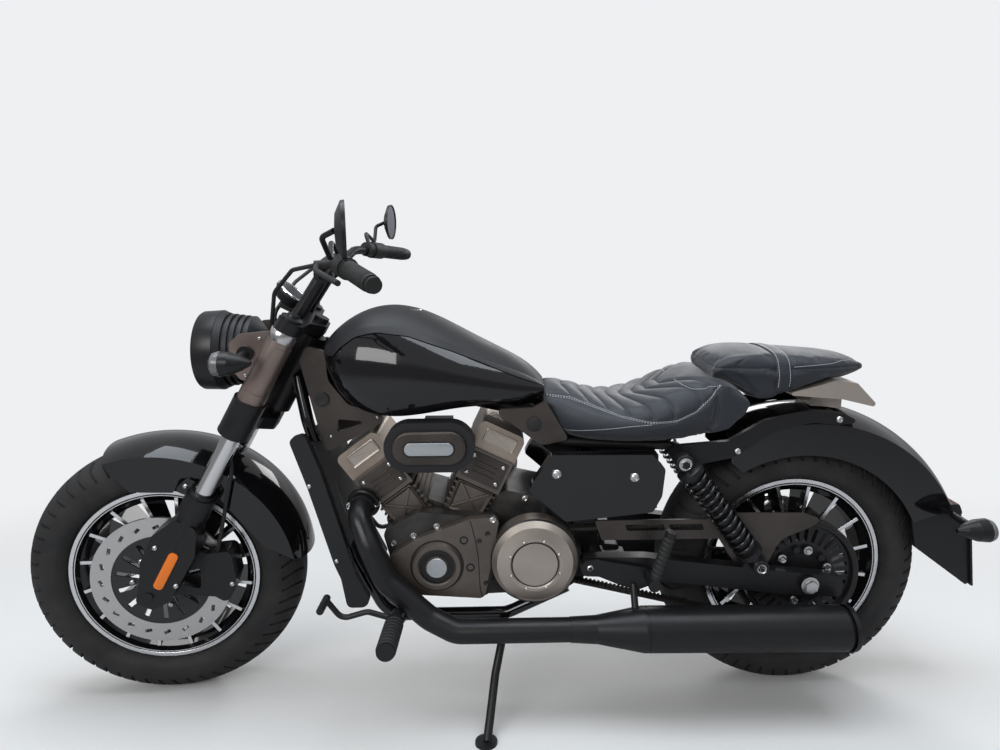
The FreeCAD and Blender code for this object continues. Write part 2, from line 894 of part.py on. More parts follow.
def fender_shell(centre, top_r, side_r, low_r, half, outline_corners):
    shell = channel_section(top_r, side_r, low_r, half, SHELL).revolve(
        V(0, 0, 0), V(0, 1, 0), 360
    )
    shell.translate(centre)
    return shell.common(side_plate(outline_corners, -half - 5, half + 5))


rear_shell = fender_shell(
    V(REAR_FENDER_X, 0, REAR_FENDER_Z),
    REAR_FENDER_R,
    REAR_FENDER_R - 28,
    REAR_FENDER_R - 168,
    REAR_FENDER_HALF,
    [
        (175, FENDER_TOP + 80, 0),
        (175, REAR_FENDER_Z + 278, 0),
        (60, REAR_FENDER_Z + 178, 0),
        (-120, REAR_FENDER_Z + 158, 0),
        (FENDER_TAIL + 154, REAR_FENDER_Z + 126, 12),
        (FENDER_TAIL + 90, REAR_FENDER_Z + 148, 8),
        (FENDER_TAIL - 20, REAR_FENDER_Z + 160, 0),
        (FENDER_TAIL - 20, FENDER_TOP + 80, 0),
    ],
)
wheel_room = cross_rod(0, REAR_AXLE.z, REAR_WHEEL["radius"] - 29, -200, 200)
nodes["rear_fender"] = rear_shell.cut(wheel_room)

tail_outline = [
    (60, 40, 4),
    (-62, 72, 6),
    (-112, 66, 8),
    (-170, 6, 6),
    (-80, 28, 30),
]
tail_foot = box(-104, -30, -40, 40, -30, 50)
tail_piece = fused([side_plate(tail_outline, -88, 88), tail_foot])
tail_piece.translate(V(0, 0, FENDER_TOP))
fender_solid = cross_rod(REAR_FENDER_X, REAR_FENDER_Z, REAR_FENDER_R + SEAT_GAP, -200, 200)
nodes["tail_piece"] = tail_piece.cut(fender_solid)

seat_cutters = [
    nodes["seat_rails"],
    nodes["backbone"],
    nodes["pivot_plates"],
    nodes["fuel_tank"],
    nodes["tank_saddle"],
    nodes["neck_covers"],
    fender_solid,
]
nodes["rider_seat"] = nodes["rider_seat"].cut(seat_cutters)
pillion = fused([pillion, pillion_flap])
nodes["pillion_seat"] = pillion.cut([nodes["rider_seat"], nodes["tail_piece"], fender_solid])

# Fender struts with two bolts a side
STRUT_Y = REAR_FENDER_HALF + SEAT_GAP
strut = side_plate(
    [
        (330, -98, 22),
        (322, -72, 18),
        (192, -62, 30),
        (110, -14, 60),
        (0, 8, 80),
        (-70, 2, 40),
        (-114, -21, 6),
        (-60, -26, 30),
        (0, -20, 80),
        (90, -42, 60),
        (180, -102, 40),
        (285, -122, 22),
    ],
    STRUT_Y,
    STRUT_Y + STRUT_THICK,
)
strut.translate(V(0, 0, FENDER_TOP))
STRUT_BOLTS = ((170.0, FENDER_TOP - 86), (-62.0, FENDER_TOP - 13))
STRUT_HOLE_R = 4.2
strut_holes = [
    cross_rod(x, z, STRUT_HOLE_R, STRUT_Y, STRUT_Y + STRUT_THICK + 1) for x, z in STRUT_BOLTS
]
strut_feet = [cross_rod(x, z, 11, STRUT_Y - 40, STRUT_Y) for x, z in STRUT_BOLTS]
fender_room = channel_section(
    REAR_FENDER_R + SEAT_GAP,
    REAR_FENDER_R - 28 + SEAT_GAP,
    REAR_FENDER_R - 168,
    REAR_FENDER_HALF + SEAT_GAP,
    REAR_FENDER_HALF - 1,
).revolve(V(0, 0, 0), V(0, 1, 0), 360)
fender_room.translate(V(REAR_FENDER_X, 0, REAR_FENDER_Z))
strut_feet = [foot.cut(fender_room) for foot in strut_feet]
shock_stud = cross_rod(SHOCK_TOP[0], SHOCK_TOP[1], 9, STRUT_Y + STRUT_THICK, SHOCK_Y + 22)
strut_boss = cross_rod(SHOCK_TOP[0], SHOCK_TOP[1], 16, RAIL_Y, STRUT_Y)
strut = fused([strut, shock_stud, strut_boss] + strut_feet).cut(strut_holes)
nodes["fender_struts"] = both(strut).cut([nodes["seat_rails"]])

# Side covers under the seat
side_cover = side_plate(
    [
        (598, 640, 12),
        (372, 638, 8),
        (342, 604, 12),
        (348, 540, 30),
        (368, 502, 12),
        (566, 482, 12),
        (650, 556, 8),
        (640, 578, 8),
    ],
    112,
    140,
)
nodes["side_covers"] = both(side_cover)

# Swingarm
arm = side_plate(
    [
        (530, 352, 18),
        (530, 394, 18),
        (382, 392, 60),
        (60, REAR_AXLE.z + 29, 80),
        (-82, REAR_AXLE.z + 13, 10),
        (-84, REAR_AXLE.z - 37, 12),
        (60, REAR_AXLE.z - 27, 60),
        (380, 338, 60),
    ],
    ARM_Y,
    ARM_Y + ARM_THICK,
)
arm_bridge = side_plate(
    [(430, 344, 8), (470, 348, 8), (470, 392, 8), (430, 388, 8)],
    -ARM_Y,
    PULLEY_Y - 14,
)
shock_lug = side_plate(
    [(95, 21, 6), (160, 27, 6), (142, 77, 18), (104, 75, 18)],
    ARM_Y + ARM_THICK - 12,
    ARM_Y + ARM_THICK,
)
shock_lug.translate(REAR_AXLE)
shock_pin = cross_rod(
    SHOCK_BOTTOM[0], SHOCK_BOTTOM[1], 8, ARM_Y + ARM_THICK - 12, SHOCK_Y + 20
)
left_arm = fused([arm, shock_lug, shock_pin])
right_arm = mirrored(left_arm)
low_link = side_plate(
    [(418, 352, 6), (480, 352, 6), (480, 384, 6), (418, 380, 6)], PULLEY_Y - 20, ARM_Y + 4
)
arm_pieces = [left_arm, right_arm, arm_bridge, low_link]
arm_bores = [
    cross_rod(0, REAR_AXLE.z, AXLE_R, -200, 200),
    cross_rod(PIVOT_X, PIVOT_Z, AXLE_R, -200, 200),
]
nodes["swingarm"] = fused(arm_pieces).cut(arm_bores)

# Shock absorbers: damper body with its coil turns
shock_top = V(SHOCK_TOP[0], SHOCK_Y, SHOCK_TOP[1])
shock_end = V(SHOCK_BOTTOM[0], SHOCK_Y, SHOCK_BOTTOM[1])
shock_line = shock_end - shock_top
shock_len = shock_line.Length
shock_dir = V(shock_line)
shock_dir.normalize()
damper = turned(
    [
        (16, 0),
        (16, 20),
        (22, 31),
        (34, 31),
        (36, 22),
        (shock_len - 52, 22),
        (shock_len - 50, 30),
        (shock_len - 38, 30),
        (shock_len - 30, 12),
        (shock_len - 12, 12),
        (shock_len - 12, 0),
    ],
    shock_top,
    shock_dir,
)
eyes = [
    cross_rod(shock_top.x, shock_top.z, 20, SHOCK_Y - 14, SHOCK_Y + 14),
    cross_rod(shock_end.x, shock_end.z, 18, SHOCK_Y - 14, SHOCK_Y + 14),
]
coils = []
COIL_TURNS = 14
for i in range(COIL_TURNS):
    place = 44 + (shock_len - 106) * i / (COIL_TURNS - 1)
    centre = shock_top + shock_dir * place
    coils.append(Part.makeTorus(25.5, 4.2, centre, shock_dir))
shock = fused([damper] + eyes + coils)
shock = shock.cut(
    [
        cross_rod(SHOCK_TOP[0], SHOCK_TOP[1], 9, 100, 200),
        cross_rod(SHOCK_BOTTOM[0], SHOCK_BOTTOM[1], 8, 100, 200),
    ]
)
nodes["shocks"] = both(shock)

# Belt guard standing on the arm
GUARD_THICK = 5.0
guard = side_plate(
    [
        (497, 149, 5),
        (236, 149, 5),
        (165, 163, 5),
        (10, 161, 5),
        (-38, 145, 10),
        (-10, 125, 10),
        (60, 97, 60),
        (90, 29, 5),
        (160, 29, 5),
        (205, 101, 5),
        (480, 101, 5),
    ],
    ARM_Y,
    ARM_Y + GUARD_THICK,
)
guard_slots = [
    side_plate(
        [(a, 123, 3), (b, 123, 3), (b + 6, 138, 3), (a + 6, 138, 3)],
        ARM_Y - 1,
        ARM_Y + GUARD_THICK + 1,
    )
    for a, b in ((330, 420), (240, 318))
]
for piece in [guard] + guard_slots:
    piece.translate(REAR_AXLE)
nodes["belt_guard"] = guard.cut(guard_slots).cut(nodes["swingarm"])

# Exhaust: header, collector bend and silencer
SILENCER_Y = 186.0
SILENCER_R = 49.0
header_left = pipe(
    [
        V(1030, 78, 514),
        V(1038, 128, 500),
        V(1006, 162, 440),
        V(972, 168, 362),
        V(876, 176, 276),
        V(815, SILENCER_Y, 248),
        V(560, SILENCER_Y, 248),
    ],
    26,
    60,
)
silencer = turned(
    [
        (0, 0),
        (0, 27),
        (60, 30),
        (165, SILENCER_R),
        (170, SILENCER_R),
        (170, SILENCER_R - 1.5),
        (174, SILENCER_R - 1.5),
        (174, SILENCER_R),
        (620, SILENCER_R),
        (640, SILENCER_R - 10),
        (640, 22),
        (560, 22),
        (560, 0),
    ],
    V(560, SILENCER_Y, 248),
    V(-1, 0, -0.012),
)
exhaust_left = fused([header_left, silencer])
nodes["exhaust_left"] = exhaust_left.cut([nodes["cylinders"], crankcase])
header_right = pipe(
    [
        V(700, -86, 560),
        V(690, -130, 530),
        V(715, -150, 420),
        V(760, -166, 300),
        V(700, -SILENCER_Y, 248),
        V(560, -SILENCER_Y, 248),
    ],
    24,
    50,
)
exhaust_right = fused([header_right, mirrored(silencer)])
nodes["exhaust_right"] = exhaust_right.cut(
    [nodes["cylinders"], nodes["engine_covers"], crankcase]
)

# Foot controls: forward set pegs, shift and brake levers
peg_bar = rod(V(950, DOWN_Y + 14, 222), V(950, 176, 262), 13)
PEG_X = 944.0
PEG_Z = 300.0
peg = fused(
    [
        rod(V(950, 176, 262), V(PEG_X, 200, PEG_Z), 13),
        rod(V(PEG_X, 192, PEG_Z), V(PEG_X, 225, PEG_Z + 1), 12),
        rod(V(PEG_X, 225, PEG_Z + 1), V(PEG_X, 338, PEG_Z + 8), 19),
        peg_bar,
    ]
)
lever = pipe(
    [
        V(950, 214, 300),
        V(1004, 214, 318),
        V(1060, 214, 302),
        V(1092, 214, 346),
    ],
    6,
    24,
)
toe = rod(V(1092, 208, 348), V(1092, 262, 350), 8)
left_control = fused([peg, lever, toe])

# Passenger pegs, folded up against the machine
peg_plate = side_plate(
    [
        (530, 354, 14),
        (530, 392, 18),
        (494, 392, 18),
        (384, 372, 12),
        (354, 354, 10),
        (360, 334, 12),
        (400, 318, 12),
        (440, 330, 20),
        (490, 352, 14),
    ],
    ARM_Y + ARM_THICK + 4,
    ARM_Y + ARM_THICK + 10,
)
pillion_peg = fused(
    [
        peg_plate,
        rod(V(410, ARM_Y + ARM_THICK + 7, 332), V(410, 172, 284), 8),
        rod(V(372, ARM_Y + ARM_THICK + 7, 352), V(372, 192, 352), 14),
        rod(V(372, 180, 352), V(336, 182, 476), 12),
    ]
)
nodes["foot_pegs"] = Part.makeCompound(
    [left_control, mirrored(left_control), pillion_peg, mirrored(pillion_peg)]
).cut([nodes[name] for name in ("down_tubes", "exhaust_left", "exhaust_right", "pivot_plates")])

# Plate carrier, tail lamp and rear indicators
# in x and z from the rear fender's rearmost point
CARRIER_CHEEK = [
    (158, 142, 6),
    (90, 160, 6),
    (28, 130, 8),
    (17, 108, 6),
    (-1, -30, 4),
    (10, -36, 4),
    (142, 62, 10),
]
fender_end = V(FENDER_TAIL, 0, REAR_FENDER_Z)
cheek = side_plate(CARRIER_CHEEK, REAR_FENDER_HALF - SHELL - 6, REAR_FENDER_HALF - SHELL)
cheek.translate(fender_end)
carrier_arm = fused([cheek, mirrored(cheek)])
plate_back = side_plate([(18, 114, 0), (13, 114, 0), (-5, -36, 0), (0, -36, 0)], -100, 100)
plate_back.translate(fender_end)
plate_foot = fender_end + V(-5, 0, -36)
PLATE_HOLE_Y = 70.0
PLATE_HOLE_R = 3.2
plate_slope = math.atan2(18, 150)
plate_normal = V(-math.cos(plate_slope), 0, math.sin(plate_slope))
plate_hole_mid = fender_end + V(14.1, 0, 102)
plate_holes = []
for y in (-PLATE_HOLE_Y, PLATE_HOLE_Y):
    here = plate_hole_mid + V(0, y, 0)
    plate_holes.append(rod(here - plate_normal * 9, here + plate_normal * 9, PLATE_HOLE_R))
TAIL_IND_Y = 168.0
stalk_bar = cross_rod(
    FENDER_TAIL + 54, REAR_FENDER_Z + 140, 8, -TAIL_IND_Y + 6, TAIL_IND_Y - 6
)
nodes["plate_carrier"] = fused([carrier_arm, plate_back, stalk_bar]).cut(plate_holes).cut(
    nodes["rear_fender"]
)
tail_lamp = side_plate([(42, 154, 5), (18, 154, 8), (8, 130, 8), (26, 118, 4)], -62, 62)
tail_lamp.translate(fender_end)


def indicator(tail, length, radius):
    """Bullet lamp pointing away from its tail along x."""
    sign = math.copysign(1, length)
    reach = abs(length)
    profile = [
        (0, 0),
        (0, 5),
        (reach * 0.22, radius * 0.6),
        (reach * 0.5, radius * 0.93),
        (reach * 0.74, radius),
        (reach * 0.9, radius * 0.86),
        (reach * 0.98, radius * 0.5),
        (reach, 0),
    ]
    return turned(profile, tail, V(sign, 0, 0))


rear_bullet = indicator(fender_end + V(102, TAIL_IND_Y, 140), -86, 26)
rear_lamps = [tail_lamp.cut(carrier_arm), rear_bullet, mirrored(rear_bullet)]
nodes["rear_lamps"] = Part.makeCompound(rear_lamps).cut(stalk_bar)

nodes["rear_axle"] = cross_rod(
    0, REAR_AXLE.z, AXLE_R, -ARM_Y - ARM_THICK - 12, ARM_Y + ARM_THICK + 12
)

# Rear caliper on the right arm
caliper_room = box(-200, 200, REAR_DISC_Y - 5, REAR_DISC_Y + DISC_THICK + 5, -323, 137)
rear_caliper = side_plate(
    [(30, 85, 8), (96, 85, 8), (112, 117, 12), (96, 147, 12), (30, 147, 12)],
    REAR_DISC_Y - 22,
    REAR_DISC_Y + DISC_THICK + 16,
)
caliper_arm = side_plate(
    [(40, 29, 6), (90, 33, 6), (90, 89, 4), (40, 89, 4)],
    -ARM_Y - 8,
    REAR_DISC_Y - 10,
)
for piece in (caliper_room, rear_caliper, caliper_arm):
    piece.translate(REAR_AXLE)
nodes["rear_caliper"] = fused([rear_caliper.cut(caliper_room), caliper_arm]).cut(nodes["swingarm"])

# The fork, by distance up its legs from the axle


def fork_plate(corners, y0, y1):
    """Plate from (up the fork, ahead of it, corner radius) rows, between two y planes."""
    points = [on_fork(s, p, y0) for s, p, r in corners]
    wire = corner_path(points, [r for s, p, r in corners], True)
    return Part.Face(wire).extrude(V(0, y1 - y0, 0))


def clamp_plate(corners, s0, s1):
    """Plate across the fork from (ahead, y, corner radius) rows."""
    points = [on_fork(s0, p, y) for p, y, r in corners]
    wire = corner_path(points, [r for p, y, r in corners], True)
    return Part.Face(wire).extrude(UP * (s1 - s0))


STANCHION_R = 20.5
CLAMP_LOW = 438.0
CLAMP_HIGH = 692.0
CLAMP_THICK = 26.0
STEM_R = 17.5
COVER_R = 29.5
tube_left = fork_rod(92, CLAMP_HIGH + CLAMP_THICK, STANCHION_R)
nodes["fork_tubes"] = both(tube_left)
sleeve_bore = fork_rod(80, 730, STANCHION_R + SEAT_GAP)
bores = [sleeve_bore, mirrored(sleeve_bore)]
CLAMP_END = 30.0
clamp_corners = [
    (CLAMP_END, FORK_Y + CLAMP_END, 28),
    (-CLAMP_END, FORK_Y + CLAMP_END, 28),
    (-34, 62, 24),
    (STEM_P - STEM_R - 4, 26, 20),
    (STEM_P - STEM_R - 4, -26, 20),
    (-34, -62, 24),
    (-CLAMP_END, -FORK_Y - CLAMP_END, 28),
    (CLAMP_END, -FORK_Y - CLAMP_END, 28),
    (20, -62, 40),
    (20, 62, 40),
]
lower_clamp = clamp_plate(clamp_corners, CLAMP_LOW, CLAMP_LOW + CLAMP_THICK + 4)
lower_sleeves = [fork_rod(CLAMP_LOW - 12, 512, 36), fork_rod(CLAMP_LOW - 12, 512, 36, 0, -FORK_Y)]
stem = fork_rod(CLAMP_LOW, CLAMP_HIGH + 10, STEM_R, STEM_P, 0.0)
upper_clamp = clamp_plate(clamp_corners, CLAMP_HIGH, CLAMP_HIGH + CLAMP_THICK)
stem_nut = fork_rod(CLAMP_HIGH + CLAMP_THICK, CLAMP_HIGH + CLAMP_THICK + 12, 17, STEM_P, 0.0)
upper_clamp = fused([upper_clamp, stem_nut])
fork_cap = turned(
    [(0, 0), (0, 24), (6, 24), (9, 14), (14, 13), (14, 0)],
    on_fork(CLAMP_HIGH + CLAMP_THICK, 0, FORK_Y),
    UP,
)
fork_caps = [fork_cap, mirrored(fork_cap)]
clamps = fused([lower_clamp, stem, upper_clamp] + lower_sleeves).cut(bores)
nodes["fork_clamps"] = fused([clamps] + fork_caps)
ring_low = fork_rod(512, 540, COVER_R + 1.5)
ring_high = fork_rod(655, CLAMP_HIGH, COVER_R - 1.0)
cover = fused([ring_low, fork_rod(540, 655, COVER_R), ring_high])
nodes["fork_covers"] = both(cover.cut(sleeve_bore))

leg = fork_rod(-18, 262, 27)
collar = fork_rod(214, 262, 34)
foot = fork_plate(
    [
        (-28, -22, 14),
        (-28, 20, 14),
        (22, 32, 20),
        (66, 50, 12),
        (140, 54, 12),
        (196, 26, 20),
        (196, -26, 20),
        (132, -50, 14),
        (8, -46, 14),
    ],
    FORK_Y - 27,
    FORK_Y + 26,
)
leg_bore = fork_rod(90, 264, STANCHION_R + SEAT_GAP)
axle_bore = cross_rod(FRONT_AXLE.x, FRONT_AXLE.z, AXLE_R, 60, 160)
leg_solid = fused([leg, collar, foot])
lower_leg = leg_solid.cut([leg_bore, axle_bore])
nodes["lower_legs"] = both(lower_leg)
nodes["front_axle"] = cross_rod(FRONT_AXLE.x, FRONT_AXLE.z, AXLE_R, -FORK_Y - 30, FORK_Y + 30)

# Front caliper behind the left leg, straddling the disc
caliper_body = side_plate(
    [
        (1352, 402, 14),
        (1414, 398, 10),
        (1410, 300, 10),
        (1366, 268, 14),
        (1344, 330, 20),
    ],
    FRONT_DISC_Y - 20,
    FRONT_DISC_Y + DISC_THICK + 30,
)
caliper_slot = cross_rod(
    FRONT_AXLE.x, FRONT_AXLE.z, FRONT_DISC_R + 6, FRONT_DISC_Y - 5, FRONT_DISC_Y + DISC_THICK + 5
)
caliper_bracket = side_plate(
    [
        (1392, 392, 8),
        (1490, 420, 8),
        (1520, 300, 8),
        (1392, 284, 8),
    ],
    FORK_Y - 27,
    FORK_Y - 15,
)
bracket_hole = side_plate([(1424, 360, 6), (1462, 352, 6), (1470, 322, 6), (1428, 306, 6)], 60, 120)
caliper = caliper_body.cut(caliper_slot).fuse(caliper_bracket.cut(bracket_hole))
nodes["front_caliper"] = caliper.removeSplitter().cut(leg_solid)

# Front fender
front_fender_outline = [
    (1700, 700, 0),
    (1632, 640, 3),
    (1564, 553, 3),
    (1470, 548, 6),
    (1452, 584, 14),
    (1404, 580, 14),
    (1350, 500, 10),
    (1278, 402, 20),
    (1188, 352, 3),
    (1140, 352, 0),
    (1140, 700, 0),
]
FRONT_FENDER_R = FRONT_WHEEL["radius"] + 20
fender = fender_shell(
    FRONT_AXLE,
    FRONT_FENDER_R,
    FRONT_FENDER_R - 24,
    FRONT_FENDER_R - 115,
    FENDER_HALF,
    front_fender_outline,
)
leg_room = [fork_rod(200, 268, 36), fork_rod(200, 268, 36, 0, -FORK_Y)]
tube_room = [fork_rod(260, 430, STANCHION_R + SEAT_GAP, 0, y) for y in (FORK_Y, -FORK_Y)]
fender = fender.cut(leg_room + tube_room)
tab = fork_plate(
    [(236, 40, 8), (236, 62, 8), (276, 50, 8), (276, 24, 8), (262, 20, 4), (240, 30, 4)],
    FENDER_HALF,
    FENDER_HALF + 6,
)
nodes["front_fender"] = fused([fender, tab, mirrored(tab)]).cut(nodes["lower_legs"])

# Headlight: bowl with a finned back, lens, and its two bracket plates
LAMP_X = 1262.0
LAMP_Z = 862.0
lamp_profile = [
    (0, 0),
    (0, 46),
    (16, 66),
    (26, 78),
    (34, 78),
    (34, 74),
    (40, 74),
    (40, 80),
    (48, 80),
    (48, 76),
    (54, 76),
    (54, 82),
    (62, 82),
    (62, 78),
    (68, 78),
    (68, 84),
    (76, 84),
    (76, 80),
    (82, 80),
    (82, 86),
    (96, 92),
    (138, 90),
    (140, 84),
    (132, 82),
    (110, 78),
    (80, 58),
    (64, 0),
]
nodes["headlight_housing"] = turned(lamp_profile, V(LAMP_X, 0, LAMP_Z), V(1, 0, 0))
lens_profile = [(133, 0), (133, 81.5), (137, 82.5), (143, 60), (146, 0)]
nodes["headlight_lens"] = turned(lens_profile, V(LAMP_X, 0, LAMP_Z), V(1, 0, 0))
lamp_plate = side_plate(
    [
        (1318, 896, 10),
        (1296, 916, 10),
        (1228, 922, 10),
        (1212, 900, 10),
        (1266, 806, 10),
        (1300, 812, 14),
        (1318, 840, 14),
    ],
    86,
    92,
)
lamp_boss = cross_rod(1296, LAMP_Z, 15, 76, 86)
cover_room = fused(
    [fork_rod(500, 541, COVER_R + 1.5 + SEAT_GAP), fork_rod(500, 700, COVER_R + SEAT_GAP)]
)
housing = nodes["headlight_housing"]
nodes["headlight_brackets"] = both(fused([lamp_plate, lamp_boss]).cut([cover_room, housing]))
front_bullet = indicator(V(1244, 186, 872), 84, 26)
front_stalk = rod(V(1284, 92, 872), V(1284, 170, 872), 9)
stalk_base = rod(V(1284, 92, 872), V(1284, 100, 872), 18)
nodes["front_indicators"] = both(fused([front_bullet, front_stalk, stalk_base]).cut(cover_room))

# Handlebar on its risers, with grips, levers, switches and mirrors
BAR_R = 11.0
BAR_CENTRE = on_fork(832, -10, 0)
bar_left = [
    V(BAR_CENTRE.x, 0, BAR_CENTRE.z),
    V(BAR_CENTRE.x, 82, BAR_CENTRE.z),
    V(1078, 170, 1082),
    V(1046, 232, 1080),
    V(966, 388, 1057),
]
bar_half = pipe(bar_left, BAR_R, 60)
bar_whole = fused([bar_half, mirrored(bar_half)])
riser = rod(on_fork(CLAMP_HIGH + CLAMP_THICK, 0, 48), on_fork(818, -8, 48), 16)
riser_clamp = cross_rod(BAR_CENTRE.x, BAR_CENTRE.z, 21, 32, 64)
riser = fused([riser, riser_clamp])
nodes["handlebar"] = fused([bar_whole, riser, mirrored(riser)]).cut(nodes["fork_clamps"])
grip_dir = bar_left[4] - bar_left[3]
grip_dir.normalize()
grip_start = bar_left[3] + grip_dir * 52
grip = rod(grip_start, bar_left[4] + grip_dir * 3, 17).cut(bar_whole)
end_weight = rod(bar_left[4] + grip_dir * 3, bar_left[4] + grip_dir * 14, 15)
switch_case = rod(grip_start - grip_dir * 46, grip_start, 22)
perch = rod(bar_left[3] - grip_dir * 18, bar_left[3] + grip_dir * 6, 19)
perch_arm = rod(bar_left[3] + V(6, 0, 0), bar_left[3] + V(48, 4, -2), 9)
lever_blade = pipe(
    [
        bar_left[3] + V(44, 0, -2),
        bar_left[3] + V(34, 60, -8),
        bar_left[3] + V(-22, 150, -22),
    ],
    5.5,
    50,
)
control = fused([grip, end_weight, switch_case, perch, perch_arm, lever_blade])
nodes["hand_controls"] = both(control.cut(bar_whole))
MIRROR_Y = 415.0
mirror_stem = pipe(
    [
        bar_left[3] + V(0, -6, 14),
        bar_left[3] + V(12, 10, 46),
        V(1044, 330, 1096),
        V(1046, 392, 1138),
        V(1020, MIRROR_Y, 1150),
    ],
    5,
    24,
)
mirror_centre = V(1006, MIRROR_Y, 1150)
mirror_dir = V(-0.985, -0.17, 0.0)
mirror_head = turned(
    [(-14, 0), (-12, 28), (-2, 50), (5, 51), (5, 48), (2, 47), (2, 0)], mirror_centre, mirror_dir
)
nodes["mirrors"] = both(fused([mirror_stem, mirror_head]).cut([bar_whole, control]))
gauge_centre = on_fork(CLAMP_HIGH + CLAMP_THICK + 26, 40, 0)
gauge = turned([(-20, 0), (-20, 30), (0, 42), (8, 42), (8, 0)], gauge_centre, UP - AHEAD * 0.25)
gauge_mount = clamp_plate(
    [(16, -22, 4), (52, -22, 4), (52, 22, 4), (16, 22, 4)],
    CLAMP_HIGH + CLAMP_THICK - 8,
    CLAMP_HIGH + CLAMP_THICK + 14,
)
nodes["gauge"] = fused([gauge, gauge_mount]).cut(nodes["fork_clamps"])

# Cables from the hand controls: the brake hose goes on down behind the left leg
CABLE_R = 4.5
brake_hose = pipe(
    [
        V(1090, -226, 1078),
        V(1150, -180, 1064),
        V(1212, -90, 1010),
        V(1238, 10, 950),
        V(1236, 36, 880),
        V(1262, 44, 772),
        V(1345, 56, 735),
        V(1345, 66, 690),
        V(1334, 97, 596),
        V(1356, 97, 505),
        V(1384, 90, 396),
    ],
    CABLE_R,
    40,
)
cable_end = on_fork(CLAMP_LOW + CLAMP_THICK + 4, 2, 50)
clutch_cable = pipe(
    [
        V(1090, 226, 1078),
        V(1150, 180, 1064),
        V(1212, 96, 1008),
        V(1232, 62, 930),
        V(1238, 60, 862),
        cable_end,
    ],
    CABLE_R,
    40,
)
nodes["cables"] = Part.makeCompound([brake_hose, clutch_cable]).cut(
    [nodes["hand_controls"], nodes["front_caliper"], nodes["fork_clamps"]]
)

# The parked pose: steering turned to its rest, machine leaned over to the left
STEER_NODES = (
    "fork_tubes",
    "fork_clamps",
    "fork_covers",
    "lower_legs",
    "front_axle",
    "front_caliper",
    "front_fender",
    "headlight_housing",
    "headlight_lens",
    "headlight_brackets",
    "front_indicators",
    "handlebar",
    "hand_controls",
    "mirrors",
    "gauge",
    "cables",
    "front_tyre",
    "front_rim",
    "front_disc",
)


def steered(point):
    turn = FreeCAD.Rotation(UP, STEER_REST)
    return STEER_POINT + turn.multVec(point - STEER_POINT)


LEAN_TURN = FreeCAD.Rotation(V(1, 0, 0), -LEAN)


def low_point(wheel, centre, axis):
    """Height of a leaned tyre's lowest point above the frame's origin."""
    crown = wheel["width"] / 2
    return centre.z - (wheel["radius"] - crown) * math.sqrt(1 - axis.z**2) - crown


front_centre = LEAN_TURN.multVec(steered(FRONT_AXLE))
front_axis = LEAN_TURN.multVec(FreeCAD.Rotation(UP, STEER_REST).multVec(V(0, 1, 0)))
rear_centre = LEAN_TURN.multVec(REAR_AXLE)
rear_axis = LEAN_TURN.multVec(V(0, 1, 0))
front_low = low_point(FRONT_WHEEL, front_centre, front_axis)
rear_low = low_point(REAR_WHEEL, rear_centre, rear_axis)
pitch = math.degrees(math.atan2(front_low - rear_low, WHEELBASE))
PARK_TURN = FreeCAD.Rotation(V(0, 1, 0), pitch).multiply(LEAN_TURN)
drop = FreeCAD.Rotation(V(0, 1, 0), pitch).multVec(V(0, 0, rear_low)).z
parked = FreeCAD.Placement(V(0, 0, -drop), PARK_TURN)

# The origin lies on the floor below the middle of the parked machine's box
tyre_reach = (FRONT_WHEEL["radius"] - FRONT_WHEEL["width"] / 2) * math.sqrt(1 - front_axis.x**2)
front_end = parked.multVec(steered(FRONT_AXLE)).x + tyre_reach + FRONT_WHEEL["width"] / 2
rear_end = parked.multVec(plate_foot).x
middle = parked.multVec(steered(V(mirror_centre.x, 0, mirror_centre.z)))
parked.move(V(-(front_end + rear_end) / 2, -middle.y, 0))

for name in STEER_NODES:
    nodes[name].rotate(STEER_POINT, UP, STEER_REST)
for name in nodes:
    nodes[name].Placement = parked.multiply(nodes[name].Placement)

# Side stand, drawn on the leaned machine so that its foot lies flat
STAND_PIVOT = V(705, 108, 212)
STAND_AXIS = V(0, 0.7406, 0.6719)
STAND_PIN_R = 7.0
STAND_EYE_R = 13.0
STAND_EYE_HALF = 11.0
FOOT = V(748.0, 268.0, 0.0) + V(parked.Base.x, parked.Base.y, 0)
stand_pivot = parked.multVec(STAND_PIVOT)
stand_axis = PARK_TURN.multVec(STAND_AXIS)
reach = FOOT - stand_pivot
foot_pad = turned([(0, 0), (0, 24), (6, 24), (6, 0)], FOOT, V(0, 0, 1))
stand_leg = pipe(
    [stand_pivot, stand_pivot + reach * 0.45 + V(4, -6, 0), FOOT + V(-2, -3, 3)], 9.5, 60
)
stand_eye = rod(
    stand_pivot - stand_axis * STAND_EYE_HALF,
    stand_pivot + stand_axis * STAND_EYE_HALF,
    STAND_EYE_R,
)
pin_hole = rod(
    stand_pivot - stand_axis * 40, stand_pivot + stand_axis * 40, STAND_PIN_R + SEAT_GAP
)
floor_room = box(FOOT.x - 60, FOOT.x + 60, FOOT.y - 60, FOOT.y + 60, -20, 0)
nodes["side_stand"] = fused([foot_pad, stand_leg, stand_eye]).cut([pin_hole, floor_room])
lug_near = STAND_EYE_HALF + SEAT_GAP
stand_pin = rod(
    STAND_PIVOT - STAND_AXIS * (lug_near + 4), STAND_PIVOT + STAND_AXIS * (lug_near + 5), STAND_PIN_R
)
pin_head = rod(
    STAND_PIVOT + STAND_AXIS * lug_near, STAND_PIVOT + STAND_AXIS * (lug_near + 5), 11
)
stand_lug = rod(
    STAND_PIVOT - STAND_AXIS * (lug_near + 8), STAND_PIVOT - STAND_AXIS * lug_near, STAND_EYE_R
)
lug_arm = rod(
    STAND_PIVOT - STAND_AXIS * (lug_near + 8), V(705, DOWN_Y + 14, 222), 8
)
